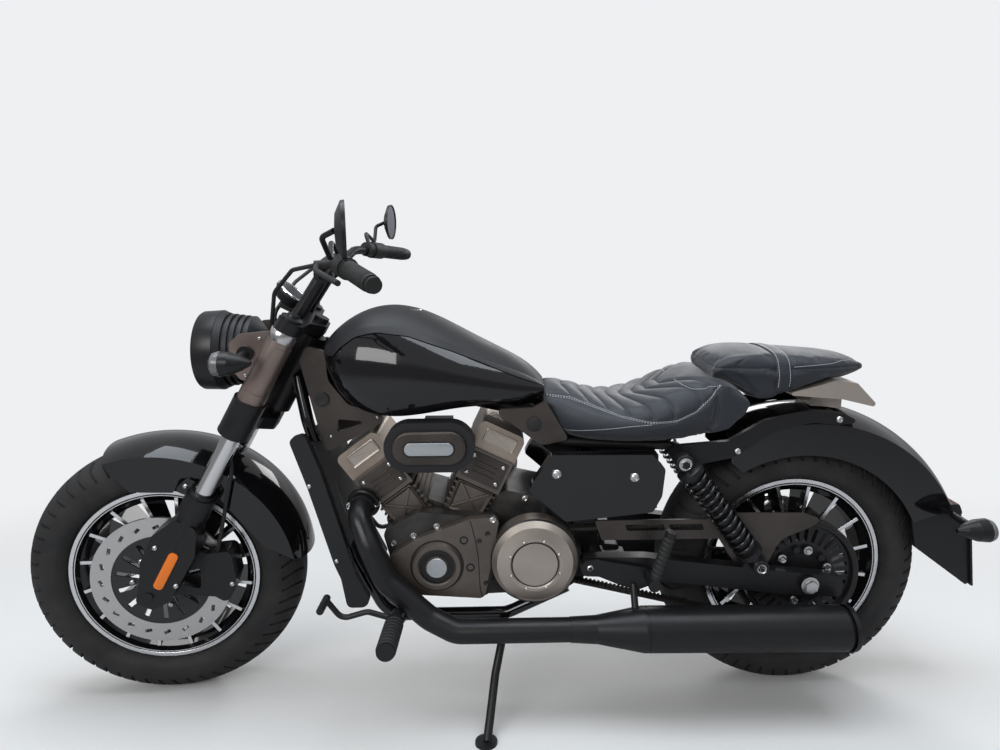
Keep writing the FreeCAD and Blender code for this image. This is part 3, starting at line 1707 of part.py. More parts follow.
eye_room = rod(
    STAND_PIVOT - STAND_AXIS * lug_near, STAND_PIVOT + STAND_AXIS * 20, STAND_EYE_R + 6
)
stand_bracket = fused([stand_lug, lug_arm.cut(eye_room), stand_pin, pin_head])
stand_bracket.Placement = parked.multiply(stand_bracket.Placement)
nodes["down_tubes"] = nodes["down_tubes"].fuse(stand_bracket).removeSplitter()


def export_all():
    os.makedirs("parts", exist_ok=True)
    for name, shape in nodes.items():
        shape.exportStep("parts/" + name + ".step")
        print(name, len(shape.Solids), "solids, valid", shape.isValid(), round(shape.Volume / 1000))


print(len(nodes), "nodes, pitch", pitch, "drop", drop)
export_all()
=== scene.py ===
# %% [markdown]
# A cruiser motorcycle, leaning on its side stand.
# The imported model is the fixed frame: every solid is already at its real size and place.
# This script gives each solid its finish and adds what the solids leave out, such as the
# tread, the seat's leather, the bolts, the springs and the machined edges of the wheels.

# %% Load the frame
import json
import math

import bmesh
import bpy
from mathutils import Matrix, Vector
from mathutils.bvhtree import BVHTree


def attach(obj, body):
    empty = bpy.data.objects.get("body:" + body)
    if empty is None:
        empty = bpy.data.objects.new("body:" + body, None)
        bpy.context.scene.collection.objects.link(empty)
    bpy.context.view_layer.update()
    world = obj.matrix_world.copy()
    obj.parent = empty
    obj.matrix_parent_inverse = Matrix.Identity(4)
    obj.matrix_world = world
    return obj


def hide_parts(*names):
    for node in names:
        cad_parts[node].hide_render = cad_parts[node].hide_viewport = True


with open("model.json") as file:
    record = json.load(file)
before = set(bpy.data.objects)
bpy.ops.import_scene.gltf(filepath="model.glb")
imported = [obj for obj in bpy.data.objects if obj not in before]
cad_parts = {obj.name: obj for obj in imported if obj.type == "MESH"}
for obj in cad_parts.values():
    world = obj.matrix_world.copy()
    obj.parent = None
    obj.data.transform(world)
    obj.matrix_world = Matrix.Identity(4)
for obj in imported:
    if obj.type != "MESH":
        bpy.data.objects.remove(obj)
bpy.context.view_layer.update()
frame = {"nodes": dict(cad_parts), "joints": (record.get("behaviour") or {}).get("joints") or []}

nodes = frame["nodes"]
joints = {joint["name"]: joint for joint in frame["joints"]}
scene = bpy.context.scene

# %% [markdown]
# The parked machine leans, so a bolt on its side is awkward to place in room coordinates.
# Each piece could be worked out in the room, but it is far easier to draw it on the upright
# machine, in millimetres, and to let one matrix carry it over. The matrix comes from the
# frame's own joints: the rear axle gives the place and the sideways direction, and the
# steering axis gives the second direction.

# %% The upright machine's matrix
RAKE = math.radians(29)
WHEELBASE = 1525
REAR_RADIUS = 323
FRONT_RADIUS = 320
FORK_OFFSET = 45
FORK_Y = 108
STEER_REST = math.radians(4.9)

fork_up = Vector((-math.sin(RAKE), 0, math.cos(RAKE)))
fork_ahead = Vector((math.cos(RAKE), 0, math.sin(RAKE)))
sideways = Vector((0, 1, 0))


def columns(a, b):
    """Matrix whose columns are a, b and their cross product."""
    return Matrix((a, b, a.cross(b))).transposed()


parked_side = Vector(joints["rear_wheel_spin"]["axis"])
parked_up = Vector(joints["steering_turn"]["axis"])
turn = columns(parked_side, parked_up) @ columns(sideways, fork_up).transposed()
MACHINE = (
    Matrix.Translation(joints["rear_wheel_spin"]["pos_m"])
    @ turn.to_4x4()
    @ Matrix.Scale(0.001, 4)
    @ Matrix.Translation((0, 0, -REAR_RADIUS))
)
TO_MACHINE = MACHINE.inverted()
front_axle = Vector((WHEELBASE, 0, FRONT_RADIUS))
steer_point = front_axle - fork_ahead * FORK_OFFSET
STEERED = (
    MACHINE
    @ Matrix.Translation(steer_point)
    @ Matrix.Rotation(STEER_REST, 4, fork_up)
    @ Matrix.Translation(-steer_point)
)
FRONT_WHEEL = STEERED @ Matrix.Translation(front_axle)
REAR_WHEEL = MACHINE @ Matrix.Translation((0, 0, REAR_RADIUS))
FORK = FRONT_WHEEL @ Matrix((fork_ahead, sideways, fork_up)).transposed().to_4x4()
print("front axle lands at", tuple(round(c, 4) for c in FRONT_WHEEL.translation))
print("the frame has it at", [round(c, 4) for c in joints["front_wheel_spin"]["pos_m"]])

# %% [markdown]
# The camera stands where the photographer stood: at chest height, level, nearly square to the
# machine's left side, with a wide lens. It is made early so that every later step can be
# looked at from the same place. The small shifts stand for the photograph's crop.

# %% Camera
CAMERA_PLACE = Vector((0.0048, 1.4525, 0.8989))
CAMERA_YAW = math.radians(-1.39)
CAMERA_ROLL = math.radians(0.30)
LENS_MM = 22.41

camera_data = bpy.data.cameras.new("camera")
camera_data.sensor_width = 36
camera_data.lens = LENS_MM
camera_data.shift_x = -0.0147
camera_data.shift_y = -0.0474
camera_data.clip_start = 0.05
camera_data.clip_end = 100
camera = bpy.data.objects.new("camera", camera_data)
scene.collection.objects.link(camera)
facing = Matrix.Rotation(CAMERA_YAW, 3, "Z") @ Vector((0, -1, 0))
level = facing.cross(Vector((0, 0, 1))).normalized()
upright = Matrix((level, level.cross(facing), -facing)).transposed()
roll = Matrix.Rotation(CAMERA_ROLL, 3, facing)
camera.matrix_world = Matrix.Translation(CAMERA_PLACE) @ (roll @ upright).to_4x4()
scene.camera = camera
print("camera at", tuple(round(c, 3) for c in CAMERA_PLACE))


# %% [markdown]
# A plain studio: a pale floor that runs into a pale surround, one large soft lamp overhead, one
# on the camera's side and one behind. Gloss black shows mostly what it mirrors, so the lamps
# are wide: they draw the long soft highlights that tell the eye how the panels curve. The
# surround is brighter to the camera than it is as a light, and as a light it is dim up to the
# horizon and bright above it, as in the street, so the paint mirrors a skyline. The floor is
# darker to everything but the camera, and it fades away, so no horizon cuts the picture.

# %% Floor, surround and lamps
FLOOR_COLOUR = (0.80, 0.80, 0.79, 1)
FLOOR_MIRRORED = (0.44, 0.44, 0.45, 1)
FLOOR_SOLID_TO = 1.3
FLOOR_GONE_AT = 3.2
SURROUND_COLOUR = (0.86, 0.87, 0.89, 1)
SKYLINE = {"From Min": 0.06, "From Max": 0.30, "To Min": 0.26, "To Max": 0.56}


def add_node(tree, kind, inputs=(), **settings):
    """A new shader node with its settings and the start values of its inputs."""
    node = tree.nodes.new("ShaderNode" + kind)
    for name, value in settings.items():
        setattr(node, name, value)
    for name, value in dict(inputs).items():
        node.inputs[name].default_value = value
    return node


floor_mesh = bmesh.new()
bmesh.ops.create_grid(floor_mesh, x_segments=1, y_segments=1, size=14)
floor_data = bpy.data.meshes.new("floor")
floor_mesh.to_mesh(floor_data)
floor_mesh.free()
floor = bpy.data.objects.new("floor", floor_data)
scene.collection.objects.link(floor)

floor_paint = bpy.data.materials.new("floor_paint")
floor_paint.use_nodes = True
floor_data.materials.append(floor_paint)
tree = floor_paint.node_tree
join = tree.links.new
pale = tree.nodes["Principled BSDF"]
pale.inputs["Roughness"].default_value = 0.75
ray = add_node(tree, "LightPath")
paint = add_node(tree, "Mix", {6: FLOOR_MIRRORED, 7: FLOOR_COLOUR}, data_type="RGBA")
clear = add_node(tree, "BsdfTransparent")
fade = add_node(tree, "MixShader")
spot = add_node(tree, "TexCoord")
reach = add_node(tree, "VectorMath", operation="LENGTH")
share = add_node(tree, "MapRange", {"From Min": FLOOR_SOLID_TO, "From Max": FLOOR_GONE_AT},
                 interpolation_type="SMOOTHSTEP")
join(ray.outputs["Is Camera Ray"], paint.inputs[0])
join(paint.outputs[2], pale.inputs["Base Color"])
join(spot.outputs["Object"], reach.inputs[0])
join(reach.outputs["Value"], share.inputs["Value"])
join(share.outputs["Result"], fade.inputs["Fac"])
join(pale.outputs["BSDF"], fade.inputs[1])
join(clear.outputs["BSDF"], fade.inputs[2])
join(fade.outputs["Shader"], tree.nodes["Material Output"].inputs["Surface"])

world = bpy.data.worlds.new("surround")
scene.world = world
world.use_nodes = True
tree = world.node_tree
join = tree.links.new
light = tree.nodes["Background"]
light.inputs["Color"].default_value = SURROUND_COLOUR
direction = add_node(tree, "TexCoord")
split = add_node(tree, "SeparateXYZ")
skyline = add_node(tree, "MapRange", SKYLINE, interpolation_type="SMOOTHSTEP")
seen = add_node(tree, "Background", {"Color": SURROUND_COLOUR, "Strength": 1.0})
ray = add_node(tree, "LightPath")
choose = add_node(tree, "MixShader")
join(direction.outputs["Generated"], split.inputs["Vector"])
join(split.outputs["Z"], skyline.inputs["Value"])
join(skyline.outputs["Result"], light.inputs["Strength"])
join(ray.outputs["Is Camera Ray"], choose.inputs["Fac"])
join(light.outputs["Background"], choose.inputs[1])
join(seen.outputs["Background"], choose.inputs[2])
join(choose.outputs["Shader"], tree.nodes["World Output"].inputs["Surface"])


def soft_lamp(name, place, target, width, height, power, colour=(1, 1, 1)):
    """A wide area lamp that faces a point."""
    data = bpy.data.lights.new(name, "AREA")
    data.shape = "RECTANGLE"
    data.size = width
    data.size_y = height
    data.energy = power
    data.color = colour
    lamp = bpy.data.objects.new(name, data)
    scene.collection.objects.link(lamp)
    lamp.location = place
    lamp.rotation_euler = (Vector(target) - Vector(place)).to_track_quat("-Z", "Y").to_euler()


soft_lamp("overhead", (0.1, 0.4, 3.0), (0, 0, 0.5), 3.6, 1.6, 64, (0.86, 0.93, 1.0))
soft_lamp("beside", (1.8, 3.2, 1.9), (0, 0, 0.5), 2.4, 1.4, 58)
soft_lamp("behind", (-1.6, -2.8, 2.5), (0, 0, 0.6), 2.6, 1.0, 34)
scene.view_settings.view_transform = "Standard"

# %% [markdown]
# Finishes. On the real machine a dozen surfaces differ more by gloss and grain than by colour:
# nearly all of it is black. Each finish is one shader with a little procedural relief, read
# from object coordinates so that it stays on the surface from every side. Image textures
# could do it too, but noise and waves have no seams and no resolution.


# %% A start for every finish
def finish(name, colour, roughness, metallic=0.0, coat=0.0, specular=0.5):
    """A material with its Principled shader set; returns the material."""
    material = bpy.data.materials.new(name)
    material.use_nodes = True
    shader = material.node_tree.nodes["Principled BSDF"]
    shader.inputs["Base Color"].default_value = (*colour, 1)
    shader.inputs["Roughness"].default_value = roughness
    shader.inputs["Metallic"].default_value = metallic
    shader.inputs["Specular IOR Level"].default_value = specular
    if coat:
        shader.inputs["Coat Weight"].default_value = coat
        shader.inputs["Coat Roughness"].default_value = 0.03
    return material


def tools(material):
    """The node tree, its shader and a short way to join nodes."""
    tree = material.node_tree
    return tree, tree.nodes["Principled BSDF"], tree.links.new


def place_of(material):
    """The output that gives the point on the piece."""
    for node in material.node_tree.nodes:
        if node.type == "TEX_COORD":
            return node.outputs["Object"]
    return add_node(material.node_tree, "TexCoord").outputs["Object"]


def pattern(material, kind, inputs, result="Fac", **settings):
    """One output of a texture that is read from the point on the piece."""
    tree, shader, join = tools(material)
    texture = add_node(tree, kind, inputs, **settings)
    join(place_of(material), texture.inputs["Vector"])
    return texture.outputs[result]


def noise(material, scale, detail=3.0, rough=0.5):
    return pattern(material, "TexNoise", {"Scale": scale, "Detail": detail, "Roughness": rough})


def relief(material, height, strength, depth):
    """Bump from a height output, on top of any bump already there."""
    tree, shader, join = tools(material)
    bump = add_node(tree, "Bump", {"Strength": strength, "Distance": depth})
    join(height, bump.inputs["Height"])
    if shader.inputs["Normal"].is_linked:
        join(shader.inputs["Normal"].links[0].from_socket, bump.inputs["Normal"])
    join(bump.outputs["Normal"], shader.inputs["Normal"])


def gloss_between(material, factor, low, high):
    """Drives the roughness between two values."""
    tree, shader, join = tools(material)
    spread_out = add_node(
        tree, "MapRange", {"From Min": 0.3, "From Max": 0.7, "To Min": low, "To Max": high})
    join(factor, spread_out.inputs["Value"])
    join(spread_out.outputs["Result"], shader.inputs["Roughness"])


def shades(material, factor, dark, light, start=0.35, end=0.65):
    """Drives the colour between two shades."""
    tree, shader, join = tools(material)
    ramp = add_node(tree, "ValToRGB")
    for element, position, shade in zip(ramp.color_ramp.elements, (start, end), (dark, light)):
        element.position = position
        element.color = (*shade, 1)
    join(factor, ramp.inputs["Fac"])
    join(ramp.outputs["Color"], shader.inputs["Base Color"])


def coated(name, colour, roughness, grain, gloss=None, tones=None, **more):
    """A finish with a fine grain, and a gloss or a tone that wanders over the piece."""
    material = finish(name, colour, roughness, **more)
    scale, detail, strength, depth = grain
    relief(material, noise(material, scale, detail), strength, depth)
    if gloss:
        scale, detail, low, high = gloss
        gloss_between(material, noise(material, scale, detail), low, high)
    if tones:
        scale, detail, dark, light = tones
        shades(material, noise(material, scale, detail), dark, light)
    return material


# %% [markdown]
# Blacks. The gloss one is black paint under a clear coat. Real paint is never a perfect
# mirror, so a very slow noise bends the reflection a little, and a finer one leaves faint
# dust. Powder coat, matt paint and plastic are the same black with a broader gloss and a
# fine orange peel. Every grain is its scale, its detail, its strength and its depth.

# %% Gloss, satin and matt blacks
gloss_black = coated("gloss_black_paint", (0.005, 0.005, 0.006), 0.16, (7, 1, 0.10, 0.0012),
                     gloss=(38, 5, 0.12, 0.20), coat=1.0, specular=0.1)
satin_black = coated("satin_black_coat", (0.010, 0.010, 0.011), 0.36, (900, 2, 0.10, 0.0002),
                     gloss=(24, 4, 0.30, 0.42), specular=0.36)
matt_black = coated("matt_black_paint", (0.013, 0.013, 0.015), 0.50, (1400, 2, 0.12, 0.00015),
                    gloss=(16, 4, 0.46, 0.56), specular=0.4)
moulded_plastic = coated("moulded_plastic", (0.014, 0.014, 0.015), 0.5, (1100, 3, 0.35, 0.0003),
                         gloss=(20, 4, 0.42, 0.6), specular=0.36)

# %% [markdown]
# Engine castings: dark coated aluminium. Casting sand leaves a coarse grain and slightly
# uneven colour. The covers are bronze-grey metallic paint with a finer grain. The grain could
# be real displacement, but bump looks the same at this size and costs no faces.

# %% Castings and metallic paints
casting = coated("engine_casting", (0.050, 0.048, 0.046), 0.46, (620, 4, 0.35, 0.0004),
                 tones=(30, 5, (0.040, 0.038, 0.037), (0.072, 0.067, 0.063)), metallic=0.55)
cover_bronze = coated("cover_bronze", (0.16, 0.135, 0.115), 0.38, (1300, 3, 0.14, 0.0002),
                      tones=(12, 4, (0.125, 0.108, 0.095), (0.175, 0.150, 0.130)), metallic=0.75)
head_bronze = coated("head_bronze", (0.36, 0.30, 0.245), 0.36, (1000, 3, 0.16, 0.0002),
                     tones=(14, 4, (0.30, 0.25, 0.205), (0.39, 0.33, 0.275)), metallic=0.8)
satin_titanium = coated("satin_titanium", (0.47, 0.41, 0.36), 0.34, (1500, 3, 0.10, 0.00015),
                        tones=(9, 3, (0.43, 0.375, 0.33), (0.50, 0.44, 0.39)), metallic=0.9)
champagne = coated("champagne_paint", (0.50, 0.44, 0.39), 0.34, (1800, 2, 0.06, 0.0001),
                   tones=(8, 3, (0.46, 0.405, 0.36), (0.53, 0.47, 0.42)), metallic=0.55, coat=0.5)
fork_bronze = coated("fork_bronze", (0.27, 0.215, 0.19), 0.36, (1300, 3, 0.10, 0.0002),
                     tones=(9, 4, (0.24, 0.19, 0.168), (0.30, 0.24, 0.215)), metallic=0.8)
dark_bronze = coated("dark_bronze_paint", (0.075, 0.064, 0.057), 0.36, (1400, 3, 0.12, 0.0002),
                     tones=(10, 4, (0.062, 0.054, 0.049), (0.092, 0.080, 0.071)), metallic=0.7)

# %% [markdown]
# Bright metals: chrome for the fork tubes, machined aluminium on the rim edges, plain steel on
# the bolts and brushed steel on the badge. Brushing leaves fine lines. An anisotropic shader
# would smear the highlight along them; a stretched noise shows the lines themselves.

# %% Bright metals
chrome = finish("chrome_plate", (0.78, 0.78, 0.79), 0.07, metallic=1.0)
gloss_between(chrome, noise(chrome, 30, 4), 0.05, 0.11)
bright_steel = coated("bright_steel", (0.62, 0.62, 0.62), 0.24, (1600, 2, 0.06, 0.0001),
                      gloss=(60, 4, 0.18, 0.32), metallic=1.0)
machined = coated("machined_aluminium", (0.86, 0.86, 0.87), 0.26, (2200, 2, 0.08, 0.0001),
                  gloss=(45, 4, 0.20, 0.34), metallic=1.0)
brushed_plate = finish("brushed_plate", (0.50, 0.53, 0.54), 0.36, metallic=0.85)
BRUSHED_SQUASH = (0.03, 1, 1)
tree, shader, join = tools(brushed_plate)
stretch = add_node(tree, "Mapping", {"Scale": BRUSHED_SQUASH})
lines = add_node(tree, "TexNoise", {"Scale": 900, "Detail": 4})
join(place_of(brushed_plate), stretch.inputs["Vector"])
join(stretch.outputs["Vector"], lines.inputs["Vector"])
relief(brushed_plate, lines.outputs["Fac"], 0.25, 0.0002)
gloss_between(brushed_plate, lines.outputs["Fac"], 0.26, 0.44)

# %% [markdown]
# A brake disc is one solid here, but on the real one a ground steel ring sits on a black
# carrier, and the grinding leaves rings about the axle. Both follow from one number: the
# distance from the axle. A Mapping node puts zero at the axle, and the length does the rest.
# A second mesh for the ring would do as well, but it would have to follow every hole.

# %% Disc steel by distance from the axle
CARRIER_BLACK = (0.018, 0.018, 0.019, 1)
GROUND_STEEL = (0.62, 0.61, 0.60, 1)
RINGS_PER_METRE = 9000
EDGE_BLUR = 0.0008


def disc_finish(name, centre, edge):
    """Steel outside a radius in metres round a centre, and black paint inside it."""
    material = finish(name, (0.5, 0.5, 0.5), 0.3, metallic=1.0)
    tree, shader, join = tools(material)
    shift = add_node(tree, "Mapping", {"Location": -centre})
    reach = add_node(tree, "VectorMath", operation="LENGTH")
    ring = add_node(tree, "MapRange", {"From Min": edge - EDGE_BLUR, "From Max": edge + EDGE_BLUR})
    paint = add_node(tree, "Mix", {6: CARRIER_BLACK, 7: GROUND_STEEL}, data_type="RGBA")
    many = add_node(tree, "Math", {1: RINGS_PER_METRE}, operation="MULTIPLY")
    grooves = add_node(tree, "Math", operation="SINE")
    join(place_of(material), shift.inputs["Vector"])
    join(shift.outputs["Vector"], reach.inputs[0])
    join(reach.outputs["Value"], ring.inputs["Value"])
    join(ring.outputs["Result"], paint.inputs[0])
    join(paint.outputs[2], shader.inputs["Base Color"])
    join(ring.outputs["Result"], shader.inputs["Metallic"])
    join(reach.outputs["Value"], many.inputs[0])
    join(many.outputs["Value"], grooves.inputs[0])
    relief(material, grooves.outputs["Value"], 0.12, 0.0001)
    gloss_between(material, noise(material, 70, 4), 0.27, 0.4)
    return material


FRONT_DISC_MID = Vector((0, 67, 0))
REAR_DISC_MID = Vector((0, -63, 0))
front_disc_steel = disc_finish("front_disc_steel", FRONT_WHEEL @ FRONT_DISC_MID, 0.114)
rear_disc_steel = disc_finish("rear_disc_steel", REAR_WHEEL @ REAR_DISC_MID, 0.093)

# %% [markdown]
# Rubber is matt and a little grey where dust holds. Leather has a cell grain, which Voronoi
# cells give, with soft sheen at the edges. Both keep a fine noise so that no patch is flat.

# %% Rubber and leather
tyre_rubber = coated("tyre_rubber", (0.020, 0.020, 0.021), 0.72, (700, 4, 0.25, 0.0004),
                     gloss=(14, 5, 0.6, 0.8), specular=0.35)
shades(tyre_rubber, noise(tyre_rubber, 9, 6, 0.65), (0.014, 0.014, 0.015),
       (0.034, 0.033, 0.032), 0.3, 0.75)
soft_rubber = coated("soft_rubber", (0.018, 0.018, 0.018), 0.6, (1000, 3, 0.25, 0.0003),
                     gloss=(40, 4, 0.52, 0.68), specular=0.4)
belt_rubber = coated("belt_rubber", (0.026, 0.024, 0.022), 0.7, (800, 4, 0.35, 0.0005),
                     gloss=(50, 4, 0.6, 0.8), specular=0.3)

seat_leather = finish("seat_leather", (0.021, 0.025, 0.033), 0.5, specular=0.45)
tree, shader, join = tools(seat_leather)
cells = pattern(seat_leather, "TexVoronoi", {"Scale": 420}, "Distance",
                feature="DISTANCE_TO_EDGE")
pores = add_node(tree, "MapRange", {"From Max": 0.12})
join(cells, pores.inputs["Value"])
relief(seat_leather, pores.outputs["Result"], 0.35, 0.0004)
relief(seat_leather, noise(seat_leather, 60, 4), 0.25, 0.001)
gloss_between(seat_leather, noise(seat_leather, 25, 5), 0.42, 0.58)
shader.inputs["Sheen Weight"].default_value = 0.25
shader.inputs["Sheen Roughness"].default_value = 0.4
thread = coated("seat_thread", (0.66, 0.68, 0.72), 0.7, (1500, 2, 0.3, 0.0002))

# %% [markdown]
# Lamps: clear plastic over a bright bowl, red for the tail and amber for the reflectors. The
# clear lens lets most of the light through, so its bowl shows. The red and the amber ones hide
# nearly all that is behind them, so they are simply coloured, with their facets as bump.

# %% Lamp plastics, dial and mirror glass
clear_lens = coated("clear_lens", (0.92, 0.93, 0.95), 0.04, (60, 2, 0.05, 0.0005))
tools(clear_lens)[1].inputs["Transmission Weight"].default_value = 0.85
red_lens = coated("red_lens", (0.42, 0.012, 0.012), 0.10, (350, 1, 0.2, 0.0006), coat=0.6)
amber = finish("amber_reflector", (0.86, 0.19, 0.004), 0.22, coat=0.3)
relief(amber, pattern(amber, "TexVoronoi", {"Scale": 320}, "Distance"), 0.5, 0.0006)
dial_face = coated("dial_face", (0.010, 0.011, 0.013), 0.38, (90, 2, 0.03, 0.0003))
mirror_glass = finish("mirror_glass", (0.38, 0.42, 0.46), 0.06, metallic=1.0)
gloss_between(mirror_glass, noise(mirror_glass, 20, 3), 0.04, 0.08)
print("finishes:", len(bpy.data.materials))

# %% [markdown]
# The radiator's core is a stack of thin folded fins. At this size they are a pattern, not
# shapes: two crossed waves give the tubes and the fins between them.

# %% Radiator core
fin_black = finish("radiator_fins", (0.02, 0.02, 0.021), 0.45, metallic=0.4)
for axis, scale, strength in (("Z", 130, 0.8), ("Y", 420, 0.5)):
    waves = pattern(fin_black, "TexWave", {"Scale": scale}, bands_direction=axis)
    relief(fin_black, waves, strength, 0.001)

# %% [markdown]
# Every solid takes its finish here. It could be set solid by solid, but one table shows at a
# glance what is gloss and what is matt, and the last line names any solid that was forgotten.
# A solid's mesh is never touched: only the material in its slot changes.

# %% Finishes for the solids
SOLID_FINISH = (
    (gloss_black, (
        "front_fender", "rear_fender", "fuel_tank", "side_covers", "down_tubes", "front_rim",
        "rear_rim",
    )),
    (satin_black, (
        "rear_pulley", "side_stand", "fork_clamps", "lower_legs", "front_caliper", "handlebar",
        "mirrors", "backbone", "pivot_plates", "seat_rails", "fender_struts", "swingarm",
        "exhaust_left", "exhaust_right", "foot_pegs", "plate_carrier", "rear_caliper", "shocks",
        "front_indicators", "rear_lamps", "front_axle",
    )),
    (matt_black, ("headlight_housing", "air_cleaner", "tank_saddle")),
    (moulded_plastic, ("gauge", "electrics_box", "radiator_shrouds")),
    (casting, ("crankcase",)),
    (cover_bronze, ("engine_covers", "cylinders")),
    (fork_bronze, ("fork_covers", "headlight_brackets")),
    (dark_bronze, ("neck_covers", "belt_guard")),
    (head_bronze, ("head_covers",)),
    (satin_titanium, ("pulley_cover",)),
    (champagne, ("tail_piece",)),
    (chrome, ("fork_tubes", "fuel_cap")),
    (bright_steel, ("rear_axle",)),
    (front_disc_steel, ("front_disc",)),
    (rear_disc_steel, ("rear_disc",)),
    (soft_rubber, ("hand_controls", "cables")),
    (belt_rubber, ("drive_belt",)),
    (tyre_rubber, ("front_tyre", "rear_tyre")),
    (seat_leather, ("rider_seat", "pillion_seat")),
    (fin_black, ("radiator",)),
    (clear_lens, ("headlight_lens",)),
)
for material, members in SOLID_FINISH:
    for member in members:
        nodes[member].data.materials.clear()
        nodes[member].data.materials.append(material)
left_over = set(nodes) - {member for material, members in SOLID_FINISH for member in members}
print("solids with no finish:", sorted(left_over))

# %% [markdown]
# Every added piece is drawn in millimetres in one of five frames: the upright machine, the
# steered front end, the fork (x ahead of it, y sideways, z up its legs from the axle) and the
# two wheels (each from its own axle). One function carries the finished mesh over, gives it
# its material and lets it ride on its body, so no piece is placed by hand in the room.

# %% Frames and the last step of each piece
FRAMES = {
    "machine": (MACHINE, "chassis"),
    "steered": (STEERED, "steering"),
    "fork": (FORK, "steering"),
    "front_wheel": (FRONT_WHEEL, "front_wheel"),
    "rear_wheel": (REAR_WHEEL, "rear_wheel"),
}
LEFT = Vector((0, 1, 0))
RIGHT = Vector((0, -1, 0))
SIDES = ((1, "left", LEFT), (-1, "right", RIGHT))
UP = Vector((0, 0, 1))
AHEAD = Vector((1, 0, 0))
added = []


def settle(mesh, name, frame_name, material, sharp=35, replaced=()):
    """Carries a drawn mesh into the room as a piece that rides on its body."""
    matrix, body = FRAMES[frame_name]
    bmesh.ops.remove_doubles(mesh, verts=mesh.verts, dist=0.005)
    bmesh.ops.recalc_face_normals(mesh, faces=mesh.faces)
    bmesh.ops.transform(mesh, matrix=matrix, verts=mesh.verts)
    data = bpy.data.meshes.new(name)
    mesh.to_mesh(data)
    mesh.free()
    data.shade_smooth()
    data.set_sharp_from_angle(angle=math.radians(sharp))
    data.materials.append(material)
    piece = bpy.data.objects.new(name, data)
    scene.collection.objects.link(piece)
    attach(piece, body)
    if replaced:
        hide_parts(*replaced)
    added.append(piece)
    return piece


def pour(mesh, whole):
    """Adds one drawn mesh to another and frees it."""
    carried = bpy.data.meshes.new("carried")
    mesh.to_mesh(carried)
    mesh.free()
    whole.from_mesh(carried)
    bpy.data.meshes.remove(carried)


def aim(place, direction, around=UP):
    """Matrix that stands a shape drawn along +z at a place, along a direction."""
    up = Vector(direction).normalized()
    side = Vector(around).cross(up)
    if side.length < 0.01:
        side = AHEAD.cross(up)
    side.normalize()
    turned_to = Matrix((side, up.cross(side), up)).transposed().to_4x4()
    return Matrix.Translation(place) @ turned_to


def block(mesh, matrix, length, width, height):
    """A box of three sizes, centred where a matrix puts it."""
    sizes = Matrix.Diagonal((length, width, height, 1))
    return bmesh.ops.create_cube(mesh, size=1, matrix=matrix @ sizes)["verts"]


# %% [markdown]
# Turned shapes come from one profile spun about an axis: washers, rims, rings, lamp bowls.
# Bolts are the most repeated thing on the machine. A bolt here is a washer, a six-sided head
# with a small chamfer and a dished socket, made once per place by the same few steps.


# %% Turned shapes and bolts
def spun(mesh, profile, matrix, steps=48, closed=False):
    """Spins (height, radius) points about the z axis of a matrix."""
    points = [mesh.verts.new((r, 0, h)) for h, r in profile]
    pairs = list(zip(points, points[1:]))
    if closed:
        pairs.append((points[-1], points[0]))
    edges = [mesh.edges.new(pair) for pair in pairs]
    bmesh.ops.spin(
        mesh, geom=points + edges, cent=(0, 0, 0), axis=(0, 0, 1), angle=math.tau,
        steps=steps, use_merge=True,
    )
    grown = set(points)
    wave = list(points)
    while wave:
        vert = wave.pop()
        fresh = {edge.other_vert(vert) for edge in vert.link_edges} - grown
        grown |= fresh
        wave += fresh
    bmesh.ops.transform(mesh, matrix=matrix, verts=list(grown))


def turned(name, frame_name, material, shapes, steps=48):
    """A piece of turned shapes: each a profile, a place, a direction and perhaps its own steps."""
    mesh = bmesh.new()
    for profile, place, direction, *own in shapes:
        spun(mesh, profile, aim(place, direction), own[0] if own else steps)
    return settle(mesh, name, frame_name, material)


def add_bolt(mesh, place, direction, radius, height, washer=1.25, socket=True):
    """A six-sided head on a washer, standing on its place along a direction."""
    stand = aim(place, direction)
    rim = radius * washer
    spun(mesh, [(0, 0.1), (0, rim), (height * 0.18, rim), (height * 0.22, 0.1)], stand, 20)
    head = bmesh.ops.create_cone(
        mesh, cap_ends=True, segments=6, radius1=radius, radius2=radius * 0.94,
        depth=height * 0.8, matrix=stand @ Matrix.Translation((0, 0, height * 0.6)),
    )["verts"]
    if socket:
        out = stand.col[2].xyz
        top = max({f for v in head for f in v.link_faces},
                  key=lambda f: f.calc_center_median().dot(out))
        bmesh.ops.inset_region(mesh, faces=[top], thickness=radius * 0.42)
        bmesh.ops.translate(mesh, verts=top.verts, vec=out * (-height * 0.3))


def add_dome(mesh, place, direction, radius, height):
    """A low rounded screw head with a socket."""
    profile = [
        (0, radius), (height * 0.5, radius * 0.96), (height * 0.85, radius * 0.78),
        (height, radius * 0.5), (height * 0.55, radius * 0.42), (height * 0.55, 0.1),
    ]
    spun(mesh, profile, aim(place, direction), 20)


def bolts(name, frame_name, places, direction, radius, height, dome=False, material=bright_steel):
    """One piece with a bolt or a domed screw at each place."""
    mesh = bmesh.new()
    add_head = add_dome if dome else add_bolt
    for place in places:
        add_head(mesh, place, direction, radius, height)
    return settle(mesh, name, frame_name, material)


def ring_of(count, radius, y, first_deg=0.0, centre=(0, 0)):
    """Places round a circle in the x-z plane, at one y."""
    places = []
    for i in range(count):
        angle = math.radians(first_deg + 360 * i / count)
        x = centre[0] + radius * math.cos(angle)
        places.append((x, y, centre[1] + radius * math.sin(angle)))
    return places


